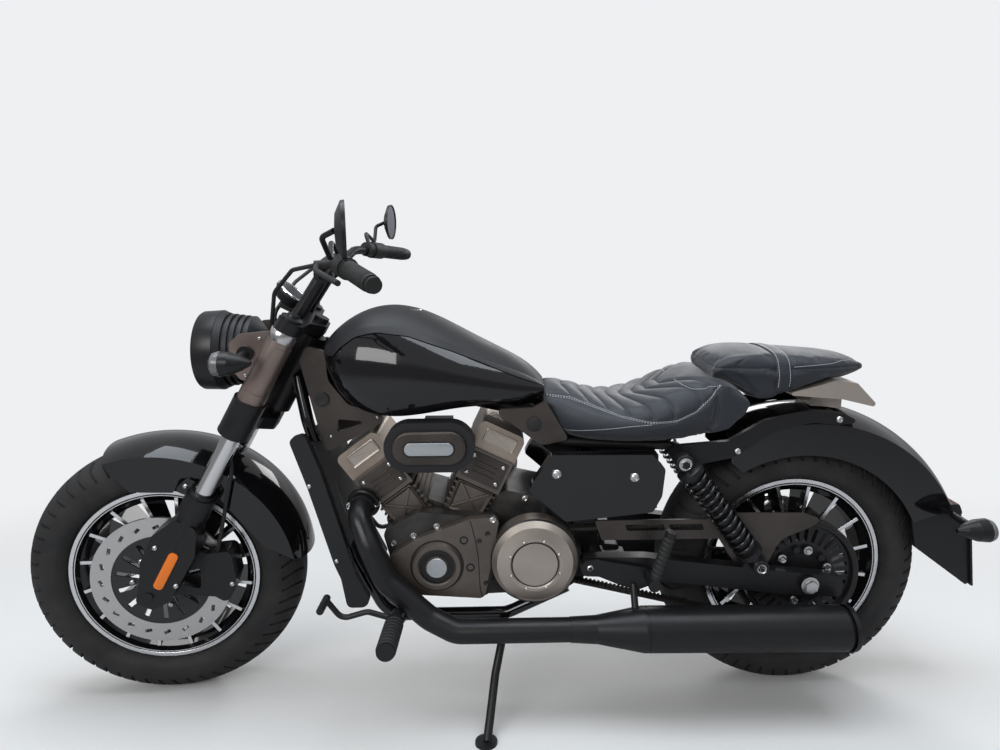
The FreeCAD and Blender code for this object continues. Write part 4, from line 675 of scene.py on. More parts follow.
def plate(mesh, outline, depth, y=0.0, bevel=0.0, segments=2):
    """A flat plate drawn in x and z, extruded along y and rounded at its edges."""
    corners = [mesh.verts.new((x, y, z)) for x, z in outline]
    face = mesh.faces.new(corners)
    grown = bmesh.ops.extrude_face_region(mesh, geom=[face])["geom"]
    moved = [v for v in grown if isinstance(v, bmesh.types.BMVert)]
    bmesh.ops.translate(mesh, verts=moved, vec=(0, depth, 0))
    if not bevel:
        return corners + moved
    top = [e for e in mesh.edges if e.verts[0] in moved and e.verts[1] in moved]
    made = bmesh.ops.bevel(
        mesh, geom=top, offset=bevel, segments=segments, profile=0.5, affect="EDGES", material=-1)
    return list({v for v in corners + moved if v.is_valid} | set(made["verts"]))


def rounded(outline, radius, steps=5):
    """Corner points of a flat outline with each corner replaced by an arc."""
    points = []
    count = len(outline)
    for i, corner in enumerate(outline):
        here = Vector(corner)
        back = Vector(outline[i - 1]) - here
        ahead = Vector(outline[(i + 1) % count]) - here
        half = back.angle(ahead) / 2
        cut = min(radius / math.tan(half), 0.49 * min(back.length, ahead.length))
        start = here + back.normalized() * cut
        end = here + ahead.normalized() * cut
        for k in range(steps + 1):
            t = k / steps
            mixed = start * (1 - t) ** 2 + here * 2 * t * (1 - t) + end * t ** 2
            points.append((mixed.x, mixed.y))
    return points


def slab(x0, x1, z0, z1, radius, steps=5):
    """Outline of a rectangle with rounded corners."""
    return rounded([(x0, z0), (x1, z0), (x1, z1), (x0, z1)], radius, steps)


# %% [markdown]
# Touching points. Small parts sit on surfaces whose exact height is awkward to work out by
# hand: a stitch on swelling leather, a screw on a cast cover. A tree of the surface's triangles
# answers it: a ray from outside gives the point and the slope there.


# %% Rays onto surfaces, in the upright machine's millimetres
def tree_of(objects):
    """Ray tree over the meshes of some objects, in the upright machine's millimetres."""
    joined = bmesh.new()
    for piece in objects:
        joined.from_mesh(piece.data)
    bmesh.ops.transform(joined, matrix=TO_MACHINE, verts=joined.verts)
    found = BVHTree.FromBMesh(joined)
    joined.free()
    return found


def touch(surface, x, z, side=1):
    """The point met from the side at a height, and the slope of the surface there."""
    return surface.ray_cast(Vector((x, side * 700, z)), Vector((0, -side, 0)))[:2]


def spots(surface, places, side=1):
    """The points met at some (x, z) places, a little sunk; prints the places that meet none."""
    found = []
    for x, z in places:
        met = touch(surface, x, z, side)[0]
        if met is None or abs(met.y) < 55:
            print("nothing at", (x, z), met)
        else:
            found.append(met - Vector((0, 0.3 * side, 0)))
    return found


print("frames:", list(FRAMES))

# %% [markdown]
# Tyres. A tyre's section is two beads, two sidewalls and a round crown. One section is spun
# about the axle. The spun grid is then twisted row by row, so that its columns slant across
# the crown as tread grooves do, and every fourth column is inset and pushed in. Cutting the
# grooves with booleans would also work, but this keeps the mesh even and light.

# %% Tyres with their tread
TYRE_STEPS = 216
CROWN_ROWS = 10
WALL_ROWS = 9
BEAD_RADIUS = 222
BEAD_INSIDE = 206.2
BEAD_INSET = 5.1
TREAD_FROM = 20
TREAD_TO = 74
GROOVE_EVERY = 4
GROOVE_EDGE = 1.9
GROOVE_DEPTH = 5.0


def tyre_section(radius, width, rim_half):
    """(y, radius) points from the left bead over the crown to the right bead."""
    half = width / 2
    inner = rim_half - BEAD_INSET
    crown = radius - half
    run = half - inner
    fall = crown - BEAD_RADIUS
    wall = (run ** 2 + fall ** 2) / (2 * run)
    spread = math.atan2(fall, inner - half + wall)
    left = [(inner, BEAD_INSIDE), (inner, BEAD_RADIUS)]
    for k in range(1, WALL_ROWS):
        angle = spread * (1 - k / WALL_ROWS)
        rib = 0.9 if k == 6 else 0.0
        out = half - wall + (wall + rib) * math.cos(angle)
        left.append((out, crown - wall * math.sin(angle)))
    for k in range(CROWN_ROWS + 1):
        angle = k / CROWN_ROWS * math.pi / 2
        left.append((half * math.cos(angle), crown + half * math.sin(angle)))
    return left + [(-y, r) for y, r in reversed(left[:-1])]


def tyre(name, frame_name, radius, width, rim_half, node):
    crown = radius - width / 2

    def crown_angle(co):
        """Degrees up the round crown: 0 at its side, 90 at its top."""
        return math.degrees(math.atan2(math.hypot(co.x, co.z) - crown, abs(co.y)))

    mesh = bmesh.new()
    points = [mesh.verts.new((r, y, 0)) for y, r in tyre_section(radius, width, rim_half)]
    edges = [mesh.edges.new((points[i - 1], points[i])) for i in range(len(points))]
    bmesh.ops.spin(
        mesh, geom=points + edges, cent=(0, 0, 0), axis=sideways, angle=math.tau,
        steps=TYRE_STEPS, use_merge=True,
    )
    bmesh.ops.remove_doubles(mesh, verts=mesh.verts, dist=0.01)
    grooved = []
    for face in mesh.faces:
        centre = face.calc_center_median()
        column = math.floor(math.atan2(centre.z, centre.x) / (math.tau / TYRE_STEPS))
        shift = GROOVE_EVERY // 2 if centre.y > 0 else 0
        if TREAD_FROM < crown_angle(centre) < TREAD_TO and (column + shift) % GROOVE_EVERY == 0:
            grooved.append(face)
    bmesh.ops.inset_region(mesh, faces=grooved, thickness=GROOVE_EDGE, use_even_offset=True)
    for vert in {v for f in grooved for v in f.verts}:
        centre = Vector((vert.co.x, 0, vert.co.z)).normalized() * crown
        vert.co -= (vert.co - centre).normalized() * GROOVE_DEPTH
    for vert in mesh.verts:
        share = (crown_angle(vert.co) - TREAD_FROM) / (TREAD_TO - TREAD_FROM)
        share = min(max(share, 0), 1)
        if math.hypot(vert.co.x, vert.co.z) > crown and abs(vert.co.y) > 0.5:
            kinked = 26 * share if share < 0.5 else 13 - 10 * (share - 0.5)
            turn_by = math.copysign(kinked, vert.co.y) / radius
            vert.co = Matrix.Rotation(turn_by, 3, "Y") @ vert.co
    piece = settle(mesh, name, frame_name, tyre_rubber, sharp=32, replaced=(node,))
    print(name, "faces:", len(piece.data.polygons), "grooves:", len(grooved))


tyre("front_tyre_tread", "front_wheel", 320, 130, 48, "front_tyre")
tyre("rear_tyre_tread", "rear_wheel", 323, 150, 51, "rear_tyre")

# %% [markdown]
# Machined edges. Cast wheels are painted black all over, and then a lathe takes the paint off
# the rim's lip and off the faces of the spokes. The bare metal is flush with the paint; here it
# is a skin a third of a millimetre thick, so that it has its own crisp edge.

# %% Machined lips and spoke faces
SPOKES = 16
SPOKE_SWEEP = math.radians(6)
SWEEP_POINT = Vector((195, 0, 0))
SPOKE_FROM = 40
SPOKE_TO = 198
HUB_FACE_Y = 22
RIM_LIPS = (
    [(-0.2, 209.2), (0.35, 209.8), (0.35, 218.2), (-0.2, 218.9)],
    [(-0.2, 204.3), (0.3, 204.7), (0.3, 206.3), (-0.2, 206.7)],
)


def spoke_faces(frame_name, rim_half):
    """Thin bright strips on both faces of the spokes, swept back a little and repeated."""
    mesh = bmesh.new()
    rise = (rim_half - 9 - HUB_FACE_Y) / (199 - 38)
    middle = (SPOKE_FROM + SPOKE_TO) / 2
    length = (SPOKE_TO - SPOKE_FROM) / math.cos(math.atan(rise))
    swept = (
        Matrix.Translation(SWEEP_POINT)
        @ Matrix.Rotation(SPOKE_SWEEP, 4, "Y")
        @ Matrix.Translation(-SWEEP_POINT)
    )
    for side, word, way in SIDES:
        face = Vector((middle, side * (HUB_FACE_Y + rise * (middle - 38) + 0.1), 0))
        tilt = Matrix.Rotation(side * math.atan(rise), 4, "Z")
        block(mesh, swept @ Matrix.Translation(face) @ tilt, length, 0.7, 8.2)
    bmesh.ops.bevel(
        mesh, geom=list(mesh.edges), offset=0.25, segments=1, profile=0.5, affect="EDGES",
        material=-1,
    )
    bmesh.ops.spin(
        mesh, geom=list(mesh.verts) + list(mesh.edges) + list(mesh.faces), cent=(0, 0, 0),
        axis=sideways, angle=math.tau, steps=SPOKES, use_duplicate=True,
    )
    half_step = Matrix.Rotation(math.tau * 0.5 / SPOKES, 4, "Y")
    bmesh.ops.transform(mesh, matrix=half_step, verts=mesh.verts)
    settle(mesh, frame_name + "_spoke_faces", frame_name, machined)


for frame_name, rim_half in (("front_wheel", 48), ("rear_wheel", 51)):
    lips = [(lip, way * rim_half, way) for side, word, way in SIDES for lip in RIM_LIPS]
    turned(frame_name + "_rim_lip", frame_name, machined, lips, 128)
for frame_name, rim_half in (("front_wheel", 48), ("rear_wheel", 51)):
    spoke_faces(frame_name, rim_half)

# %% [markdown]
# Wheel bolts and axle ends. The disc is held by low domed screws on its black carrier, the
# pulley by six screws with washers. The axles end in a nut on a thick washer. An array modifier
# could repeat one bolt; a short list of places on a circle does the same and stays readable.

# %% Wheel bolts, axle nuts and the pulley's face
bolts("front_disc_screws", "front_wheel", ring_of(7, 66, 69.2), LEFT, 6.5, 4.5, dome=True)
bolts("rear_disc_screws", "rear_wheel", ring_of(6, 52, -65.6), RIGHT, 6, 4.5, dome=True)
bolts("pulley_bolts", "rear_wheel", ring_of(6, 64, 104.6, 42), LEFT, 8.2, 7)
nut_mesh = bmesh.new()
for side, word, way in SIDES:
    add_bolt(nut_mesh, (0, side * 149.0, REAR_RADIUS), way, 16, 11, washer=1.3, socket=False)
settle(nut_mesh, "rear_axle_nuts", "machine", bright_steel)
print("wheel pieces:", [piece.name for piece in added])

# %% [markdown]
# The seats. A motorcycle seat is foam under tight leather: it swells between its seams. The
# solid gives its outline. It is remeshed into an even grid, drawn in a little, and then blown
# up as cloth with pressure and no gravity; a cap keeps each point near its start, so the pad
# swells as foam does and not as a balloon. A hand-shaped surface would do, but its swelling
# would have to be guessed at every seam.

# %% Cushions by cloth under pressure
CUSHION_FRAMES = 20
CUSHION_PRESSURE = 4.0


def bake(piece):
    """Puts the result of a piece's modifiers into its mesh."""
    depsgraph = bpy.context.evaluated_depsgraph_get()
    ready = bpy.data.meshes.new_from_object(piece.evaluated_get(depsgraph))
    piece.modifiers.clear()
    piece.data = ready


def swell(piece, cap):
    """Blows a piece up as cloth, and lets no point move further than a cap."""
    before = [v.co.copy() for v in piece.data.vertices]
    cloth = piece.modifiers.new("swell", "CLOTH")
    cloth.settings.use_pressure = True
    cloth.settings.uniform_pressure_force = CUSHION_PRESSURE
    cloth.settings.quality = 5
    cloth.settings.effector_weights.gravity = 0
    cloth.point_cache.frame_start = 1
    cloth.point_cache.frame_end = CUSHION_FRAMES
    for moment in range(1, CUSHION_FRAMES + 1):
        scene.frame_set(moment)
    bake(piece)
    for vert, origin in zip(piece.data.vertices, before):
        moved = vert.co - origin
        if moved.length > cap:
            vert.co = origin + moved.normalized() * cap


def cushion(name, node_name, voxel, shrink, cap):
    """Leather over foam in the place of a seat's solid; sizes in metres."""
    start = bmesh.new()
    start.from_mesh(nodes[node_name].data)
    bmesh.ops.remove_doubles(start, verts=start.verts, dist=0.00002)
    bmesh.ops.recalc_face_normals(start, faces=start.faces)
    data = bpy.data.meshes.new(name)
    start.to_mesh(data)
    start.free()
    piece = bpy.data.objects.new(name, data)
    scene.collection.objects.link(piece)
    grid = piece.modifiers.new("grid", "REMESH")
    grid.mode = "VOXEL"
    grid.voxel_size = voxel
    bake(piece)
    soft = bmesh.new()
    soft.from_mesh(piece.data)
    for lap in range(3):
        bmesh.ops.smooth_vert(
            soft, verts=soft.verts, factor=0.5, use_axis_x=True, use_axis_y=True, use_axis_z=True)
    soft.normal_update()
    for vert in soft.verts:
        vert.co -= vert.normal * shrink
    soft.to_mesh(piece.data)
    soft.free()
    swell(piece, cap)
    fine = piece.modifiers.new("fine", "SUBSURF")
    fine.levels = 1
    fine.render_levels = 1
    bake(piece)
    piece.data.shade_smooth()
    piece.data.materials.clear()
    piece.data.materials.append(seat_leather)
    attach(piece, "chassis")
    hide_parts(node_name)
    print(name, "points:", len(piece.data.vertices))
    return piece


rider = cushion("rider_seat_leather", "rider_seat", 0.005, 0.004, 0.006)
pillion = cushion("pillion_seat_leather", "pillion_seat", 0.0045, 0.003, 0.005)

# %% [markdown]
# Sewn channels come after the swelling, because a voxel grid would close them. Each channel is
# a line over the seat: its place along the machine at the top and how far it slants rearward
# as it goes down the side. Points near a line sink, softly far away and sharply in the seam.

# %% Channels over both seats
CHANNELS = (
    (568, 0.40), (526, 0.30), (490, 0.26), (457, 0.30), (425, 0.42), (395, 0.56),
    (366, 0.86), (335, 1.02),
)
SIDE_STITCH = (
    (604, 760), (553, 755), (497, 738), (441, 722), (373, 711), (322, 715), (278, 735),
    (240, 768), (222, 792),
)
STRAP_X = 67
STRAP_WIDTH = 36
SEAM_REACH = 30
UNDERSIDE = -0.3


def height_at(path, x):
    """Height of a path of (x, z) points at one x."""
    ordered = sorted(path)
    if x <= ordered[0][0]:
        return ordered[0][1]
    for (x0, z0), (x1, z1) in zip(ordered, ordered[1:]):
        if x <= x1:
            return z0 + (z1 - z0) * (x - x0) / (x1 - x0)
    return ordered[-1][1]


def seam_depth(distance, sharp, wide):
    """Millimetres that the leather sinks at a distance from a seam."""
    if distance >= SEAM_REACH:
        return 0
    return sharp * math.exp(-((distance / 2.6) ** 2)) + wide * math.exp(-((distance / 10) ** 2))


def press(piece, depth_at):
    """Sinks a cushion's points by a function of their place on the upright machine."""
    soft = bmesh.new()
    soft.from_mesh(piece.data)
    soft.normal_update()
    for vert in soft.verts:
        if vert.normal.z >= UNDERSIDE:
            vert.co -= vert.normal * (depth_at(TO_MACHINE @ vert.co) * 0.001)
    soft.to_mesh(piece.data)
    soft.free()


def rider_depth(place):
    depth = 0
    seam_z = height_at(SIDE_STITCH, place.x)
    if place.z > seam_z - 2 and place.x > 240:
        share = min(max((place.z - seam_z) / 8, 0), 1)
        for top, slant in CHANNELS:
            here = top - max(abs(place.y) - 20, 0) * slant
            depth += seam_depth(abs(place.x - here), 2.6, 3.2) * share
    if abs(place.y) > 70 and 222 < place.x < 606:
        depth += seam_depth(abs(place.z - seam_z + 1.5), 1.6, 2.2)
    return depth


def pillion_depth(place):
    edge = abs(abs(place.x - STRAP_X) - STRAP_WIDTH / 2)
    depth = seam_depth(edge, 1.2, 1.8)
    if -130 < place.x < 230:
        brow = 826 if place.x > 100 else 822
        depth += seam_depth(abs(place.z - brow), 1.5, 1.6)
    return depth


press(rider, rider_depth)
press(pillion, pillion_depth)

# %% [markdown]
# Stitches. Thread shows as a row of short rounded bars with a small gap between them. Each bar
# lies on the leather along its row, half sunk, so that it looks pulled tight. A texture could
# draw the thread, but it would be flat where the seat's edge is seen against the light.

# %% Stitching
STITCH = 4.4
STITCH_GAP = 2.0
THREAD_R = 0.75
RIDER_FRONT_STITCH = ((572, 682), (520, 689), (468, 697), (420, 704), (373, 708))
RIDER_REAR_STITCH = ((222, 792), (255, 784), (283, 782), (306, 790), (300, 806), (274, 816))
PILLION_STITCH = ((40, 827), (0, 829), (-50, 831), (-80, 836), (-112, 834))


def spread(points, step):
    """Places and directions at even steps along a line of points."""
    places = []
    carry = 0.0
    for a, b in zip(points, points[1:]):
        run = b - a
        while carry < run.length:
            places.append((a + run * (carry / run.length), run.normalized()))
            carry += step
        carry -= run.length
    return places


def stitch_row(mesh, points):
    for place, direction in spread(points, STITCH + STITCH_GAP):
        long = Matrix.Diagonal((1, 1, STITCH / 2 / THREAD_R, 1))
        bmesh.ops.create_uvsphere(
            mesh, u_segments=6, v_segments=4, radius=THREAD_R, matrix=aim(place, direction) @ long)


def laid(surface, path, side):
    """A path of (x, z) points laid on a surface from one side."""
    points = []
    for place, direction in spread([Vector((x, 0, z)) for x, z in path], 4):
        met, slope = touch(surface, place.x, place.z, side)
        if met is not None:
            points.append(met + slope * 0.1)
    return points


thread_mesh = bmesh.new()
rider_tree = tree_of([rider])
pillion_tree = tree_of([pillion])
for side in (1, -1):
    for rise in (-1.4, 1.6):
        stitch_row(thread_mesh, laid(rider_tree, [(x, z + rise) for x, z in SIDE_STITCH], side))
    stitch_row(thread_mesh, laid(rider_tree, RIDER_FRONT_STITCH, side))
    stitch_row(thread_mesh, laid(rider_tree, RIDER_REAR_STITCH, side))
    stitch_row(thread_mesh, laid(pillion_tree, PILLION_STITCH, side))
stitching = settle(thread_mesh, "seat_stitching", "machine", thread, sharp=60)
print("stitching faces:", len(stitching.data.polygons))

# %% [markdown]
# The passenger's strap goes over the small seat and down both sides. Leather strap is flat and
# stiff, so it is not cloth: rays from all round find the seat's surface at seven places across
# its width, the strip is laid on them, and then it gets its thickness.

# %% Passenger strap
STRAP_CORE_Z = 800
STRAP_COLUMNS = 6
STRAP_THICK = 2.2


def from_round(surface, x, angle_deg, lift):
    """The point met at one x by a ray that comes in at an angle from straight above."""
    angle = math.radians(angle_deg)
    out = Vector((0, math.sin(angle), math.cos(angle)))
    met = surface.ray_cast(Vector((x, 0, STRAP_CORE_Z)) + out * 300, -out)[0]
    return None if met is None else met + out * lift


strap_mesh = bmesh.new()
rows = []
for k in range(-34, 35):
    row = []
    for step in range(STRAP_COLUMNS + 1):
        x = STRAP_X + (step / STRAP_COLUMNS - 0.5) * (STRAP_WIDTH - 4)
        row.append(from_round(pillion_tree, x, k * 3.2, 0.4))
    if None not in row:
        rows.append([strap_mesh.verts.new(point) for point in row])
for lower, upper in zip(rows, rows[1:]):
    for i in range(STRAP_COLUMNS):
        strap_mesh.faces.new((lower[i], lower[i + 1], upper[i + 1], upper[i]))
for lap in range(4):
    bmesh.ops.smooth_vert(
        strap_mesh, verts=strap_mesh.verts, factor=0.5, use_axis_x=False, use_axis_y=True,
        use_axis_z=True)
bmesh.ops.recalc_face_normals(strap_mesh, faces=strap_mesh.faces)
strap_mesh.normal_update()
if sum(1 for f in strap_mesh.faces if f.normal.z > 0) < len(strap_mesh.faces) / 2:
    bmesh.ops.reverse_faces(strap_mesh, faces=strap_mesh.faces)
bmesh.ops.solidify(strap_mesh, geom=list(strap_mesh.faces), thickness=-STRAP_THICK)
strap = settle(strap_mesh, "pillion_strap", "machine", seat_leather, sharp=50)
strap_tree = tree_of([strap])
edge_mesh = bmesh.new()
for x in (STRAP_X - 13, STRAP_X + 13):
    row = [from_round(strap_tree, x, k * 1.7, 0.1) for k in range(-60, 61)]
    stitch_row(edge_mesh, [point for point in row if point is not None])
settle(edge_mesh, "strap_stitching", "machine", thread, sharp=60)
print("strap rows:", len(rows))

# %% [markdown]
# The engine. Its castings are plain in the solids; what makes them read as castings is the
# machining on top: flat bolted covers, screw heads, a ground ring, an oval badge. Each cylinder
# leans in the V, so its details are drawn upright in a frame of its own and turned with it.

# %% Cylinder details
CRANK = Vector((850, 0, 382))
FRONT_LEAN = math.radians(36.8)
REAR_LEAN = math.radians(-25.8)
HEAD_Y = 81.8
HEAD_PLATE_Y = 87.8
BARREL_Y = 80


def bank(lean):
    """Frame of a cylinder: x across it, y sideways, z up its bore from the crank."""
    return Matrix.Translation(CRANK) @ Matrix.Rotation(lean, 4, "Y")


def panel(mesh, outline, y, rise, side, lip=0.0, sink=0.0):
    """A cover plate, drawn in an empty mesh, that stands up from y; a lip sinks its middle."""
    plate(mesh, rounded(outline, 6), rise * side, y * side, 1.4)
    if lip:
        top = max(mesh.faces, key=lambda f: f.calc_center_median().y * side)
        bmesh.ops.inset_region(mesh, faces=[top], thickness=lip, use_even_offset=True)
        bmesh.ops.translate(mesh, verts=top.verts, vec=(0, -sink * side, 0))


def bar(mesh, start, end, y, width, rise, side=1):
    """A cast rib from one (x, z) point to another."""
    a = Vector((start[0], 0, start[1]))
    b = Vector((end[0], 0, end[1]))
    slope = math.atan2(b.z - a.z, b.x - a.x)
    middle = Matrix.Translation((a + b) / 2 + Vector((0, y + side * rise / 2, 0)))
    made = block(mesh, middle @ Matrix.Rotation(-slope, 4, "Y"), (b - a).length, rise, width)
    edges = list({e for v in made for e in v.link_edges})
    bmesh.ops.bevel(
        mesh, geom=edges, offset=0.8, segments=2, profile=0.5, affect="EDGES", material=-1)


def cylinder_details(side):
    """The head's cover panel, its side plate, the barrel's box and the screws, unturned."""
    cover, lower, box, screws = [bmesh.new() for k in range(4)]
    panel(cover, [(-42, 288), (36, 288), (36, 322), (-42, 322)], HEAD_Y, 3.2, side, 4, 1.6)
    panel(lower, [(-48, 196), (48, 196), (48, 262), (-48, 262)], HEAD_PLATE_Y, 3.0, side)
    for height in (216, 229, 242):
        bar(lower, (-26, height), (26, height), (HEAD_PLATE_Y + 2.8) * side, 4, 3, side)
    for across in (-37, 37):
        for height in (208, 251):
            add_dome(screws, (across, (HEAD_PLATE_Y + 2.8) * side, height), (0, side, 0), 5.5, 4)
    panel(box, [(-40, 108), (40, 108), (44, 183), (-44, 183)], BARREL_Y, 8, side, 6, 5)
    for start, end in (((-33, 115), (36, 177)), ((33, 115), (-36, 177))):
        bar(box, start, end, (BARREL_Y + 2.6) * side, 6, 4.6, side)
    return cover, lower, box, screws


wholes = [bmesh.new() for k in range(4)]
for lean in (FRONT_LEAN, REAR_LEAN):
    for side in (1, -1):
        for detail, whole in zip(cylinder_details(side), wholes):
            bmesh.ops.transform(detail, matrix=bank(lean), verts=detail.verts)
            pour(detail, whole)
settle(wholes[0], "head_cover_panels", "machine", satin_titanium, sharp=15)
settle(wholes[1], "head_side_plates", "machine", dark_bronze)
settle(wholes[2], "barrel_side_boxes", "machine", cover_bronze)
settle(wholes[3], "head_screws", "machine", bright_steel)

# %% [markdown]
# Case screws and ports. Their places along the machine come from the photograph; how far out
# each one stands comes from a ray onto the castings, so that none floats and none is buried.

# %% Case screws, ports and joint lines
CASE_NODES = ("crankcase", "engine_covers", "pulley_cover", "cylinders", "head_covers")
CASE_SCREWS = ((942, 479), (961, 426), (914, 444), (861, 466), (732, 488), (656, 510))
DARK_BOLTS = ((763, 436), (744, 454), (748, 334), (735, 310))
PORTS = ((798, 439), (784, 373))
PORT_PROFILE = [(0, 10), (1.6, 9.4), (1.8, 7), (-2, 6), (-2, 0)]
SPLIT_LINE = ((783, 486), (772, 440), (766, 400), (764, 360), (762, 318), (757, 300))

case_tree = tree_of([nodes[name] for name in CASE_NODES])
for side, word, way in SIDES:
    screws = spots(case_tree, CASE_SCREWS, side)
    print(word, "case screws at y:", [round(p.y) for p in screws])
    bolts("case_screws_" + word, "machine", screws, way, 5.5, 5.5)
bolts("cover_bolts", "machine", spots(case_tree, DARK_BOLTS), LEFT, 5, 5, material=casting)
port_places = [touch(case_tree, x, z)[0] for x, z in PORTS]
turned("cover_ports", "machine", satin_black,
       [(PORT_PROFILE, place, LEFT) for place in port_places], 32)
line_mesh = bmesh.new()
for a, b in zip(SPLIT_LINE, SPLIT_LINE[1:]):
    middle = touch(case_tree, (a[0] + b[0]) / 2, (a[1] + b[1]) / 2)[0]
    bar(line_mesh, a, b, middle.y - 0.5, 2.2, 0.9)
settle(line_mesh, "cover_joint_line", "machine", satin_black)

# %% [markdown]
# The two round covers. The dark one has a ground steel disc in a dark ring; the pale one has
# a ridge with eight screws round a plain centre. Both are turned shapes, so each ring is one
# thin profile spun about the cover's own centre, which fits closer than a bent strip would.

# %% Round covers
DARK_COVER = Vector((860, 0, 379))
PALE_COVER = Vector((637, 0, 392))
turned("cover_centre_disc", "machine", brushed_plate,
       [([(147.8, 23.4), (148.9, 22.6), (149.2, 20), (149.2, 0)], DARK_COVER, LEFT)], 64)
turned("cover_dark_rings", "machine", satin_black, [
    ([(143.1, 26.6), (143.5, 27.4), (143.5, 39.8), (143.1, 40.6)], DARK_COVER, LEFT),
    ([(136.1, 61.5), (137, 61), (137, 58.8), (136.1, 58.4)], DARK_COVER, LEFT),
], 64)
bolts("pulley_cover_screws", "machine", ring_of(8, 59, 165.8, 20, PALE_COVER.xz), LEFT, 3.6, 2.6,
      dome=True)
turned("pulley_cover_rings", "machine", satin_black, [
    ([(163.0, 53.4), (163.9, 52.8), (163.9, 51.2), (163.0, 50.6)], PALE_COVER, LEFT, 80),
    ([(145.9, 101.0), (147.2, 100.6), (148.6, 98.0), (148.0, 97.0)], PALE_COVER, LEFT),
], 96)

# %% [markdown]
# The air cleaner is an oval case with a dark bronze face, bevelled all round, and a plain
# brushed badge in its middle. An oval could be a stretched circle, but the real one is two half
# circles joined by straights, so that is what the outline is made of.

# %% Air cleaner face and badge
AIR_CLEANER = Vector((872, 0, 658))


def oval_plate(name, half, radius, y, rise, bevel, material):
    """An oval plate round the air cleaner's centre, of a half length and an end radius."""
    outline = []
    for end in (1, -1):
        for k in range(21):
            angle = end * math.pi / 2 - math.pi * k / 20
            x = end * (half - radius) + radius * math.cos(angle)
            outline.append((AIR_CLEANER.x + x, AIR_CLEANER.z + radius * math.sin(angle)))
    mesh = bmesh.new()
    plate(mesh, outline, rise, y, bevel, segments=3)
    settle(mesh, name, "machine", material)


oval_plate("air_cleaner_face", 83, 39, 136.2, 8.6, 5.0, dark_bronze)
oval_plate("air_cleaner_badge_rim", 58, 18, 144.4, 1.5, 0.8, satin_black)
oval_plate("air_cleaner_badge", 54.5, 14.5, 144.6, 2.2, 0.9, brushed_plate)

# %% [markdown]
# The exhaust leaves the front head through a flange with two nuts on studs, and its silencer
# ends in a short rolled lip round a dark opening. The silencer is solid, so the lip's profile
# runs a little way back inside, and the eye takes the shade there for a deep hole.

# %% Exhaust flange and tail lip
PORT_PLACE = Vector((1030, 78, 514))
PORT_WAY = Vector((8, 50, -14))
SILENCER_FROM = Vector((560, 186, 248))
SILENCER_LENGTH = 640
silencer_way = Vector((-1, 0, -0.012)).normalized()
TAIL_LIP = [
    (-10, 49.4), (-2, 49.8), (2, 48), (3, 44), (2, 38), (-8, 34), (-30, 33), (-30, 0),
]
turned("exhaust_flange", "machine", satin_black, [
    ([(6, 25), (6, 36), (8, 38), (15, 38), (17, 36), (17, 25)], PORT_PLACE, PORT_WAY),
    ([(18, 26.5), (19, 29.5), (25, 29.5), (26, 26.5)], PORT_PLACE, PORT_WAY),
])
bolts("exhaust_nuts", "machine", [(1063, 92, 506), (1001, 92, 512)], LEFT, 7, 9)
tail_ends = []
for side in (1, -1):
    place = SILENCER_FROM * Vector((1, side, 1)) + silencer_way * SILENCER_LENGTH
    tail_ends.append((TAIL_LIP, place, silencer_way))
turned("silencer_lips", "machine", satin_black, tail_ends, 64)
print("pieces so far:", len(added))

# %% [markdown]
# The front end. A long round-ended amber reflector sits in a dark frame on the foot of each
# fork leg. Screws hold the leg's foot, the caliper and the fender; rays lay them on the
# surfaces, as on the engine. The chrome of the tubes shows between the leg and its cover, with
# a dust wiper where the tube goes in.

# %% Fork details
FOOT_Y = 133.6
FORK_NODES = ("lower_legs", "front_caliper", "front_fender")
LEG_SCREWS = ((117, 36), (50, -42), (257, 44))
CALIPER_SCREW = (83, -150)
FORK_LEGS = (Vector((0, FORK_Y, 0)), Vector((0, -FORK_Y, 0)))


def on_feet(name, outline, depth, bevel, material):
    """A flat piece on the outer face of both legs' feet."""
    mesh = bmesh.new()
    for side in (1, -1):
        plate(mesh, outline, depth * side, FOOT_Y * side, bevel)
    settle(mesh, name, "fork", material)


on_feet("fork_reflectors", slab(-19, 3, 26, 123, 10.9, 8), 3.4, 1.2, amber)
on_feet("reflector_frames", slab(-21, 5, 24, 125, 12.8, 8), 1.4, 0.6, moulded_plastic)

leg_tree = tree_of([nodes[name] for name in FORK_NODES])
from_machine = FORK.inverted() @ MACHINE


def fork_spots(places, side):
    """Fork places (up, ahead) laid on the leg, the caliper and the fender."""
    found = []
    for up, ahead in places:
        near = TO_MACHINE @ (FORK @ Vector((ahead, side * 300, up)))
        far = TO_MACHINE @ (FORK @ Vector((ahead, 0, up)))
        met = leg_tree.ray_cast(near, (far - near).normalized())[0]
        local = from_machine @ met
        found.append((local.x, local.y - 0.3 * side, local.z))
    return found


for side, word, way in SIDES:
    wanted = LEG_SCREWS + (CALIPER_SCREW,) if side > 0 else LEG_SCREWS
    places = fork_spots(wanted, side)
    print(word, "leg screws at y:", [round(p[1]) for p in places])
    bolts("leg_screws_" + word, "fork", places, way, 6.2, 5, dome=True)

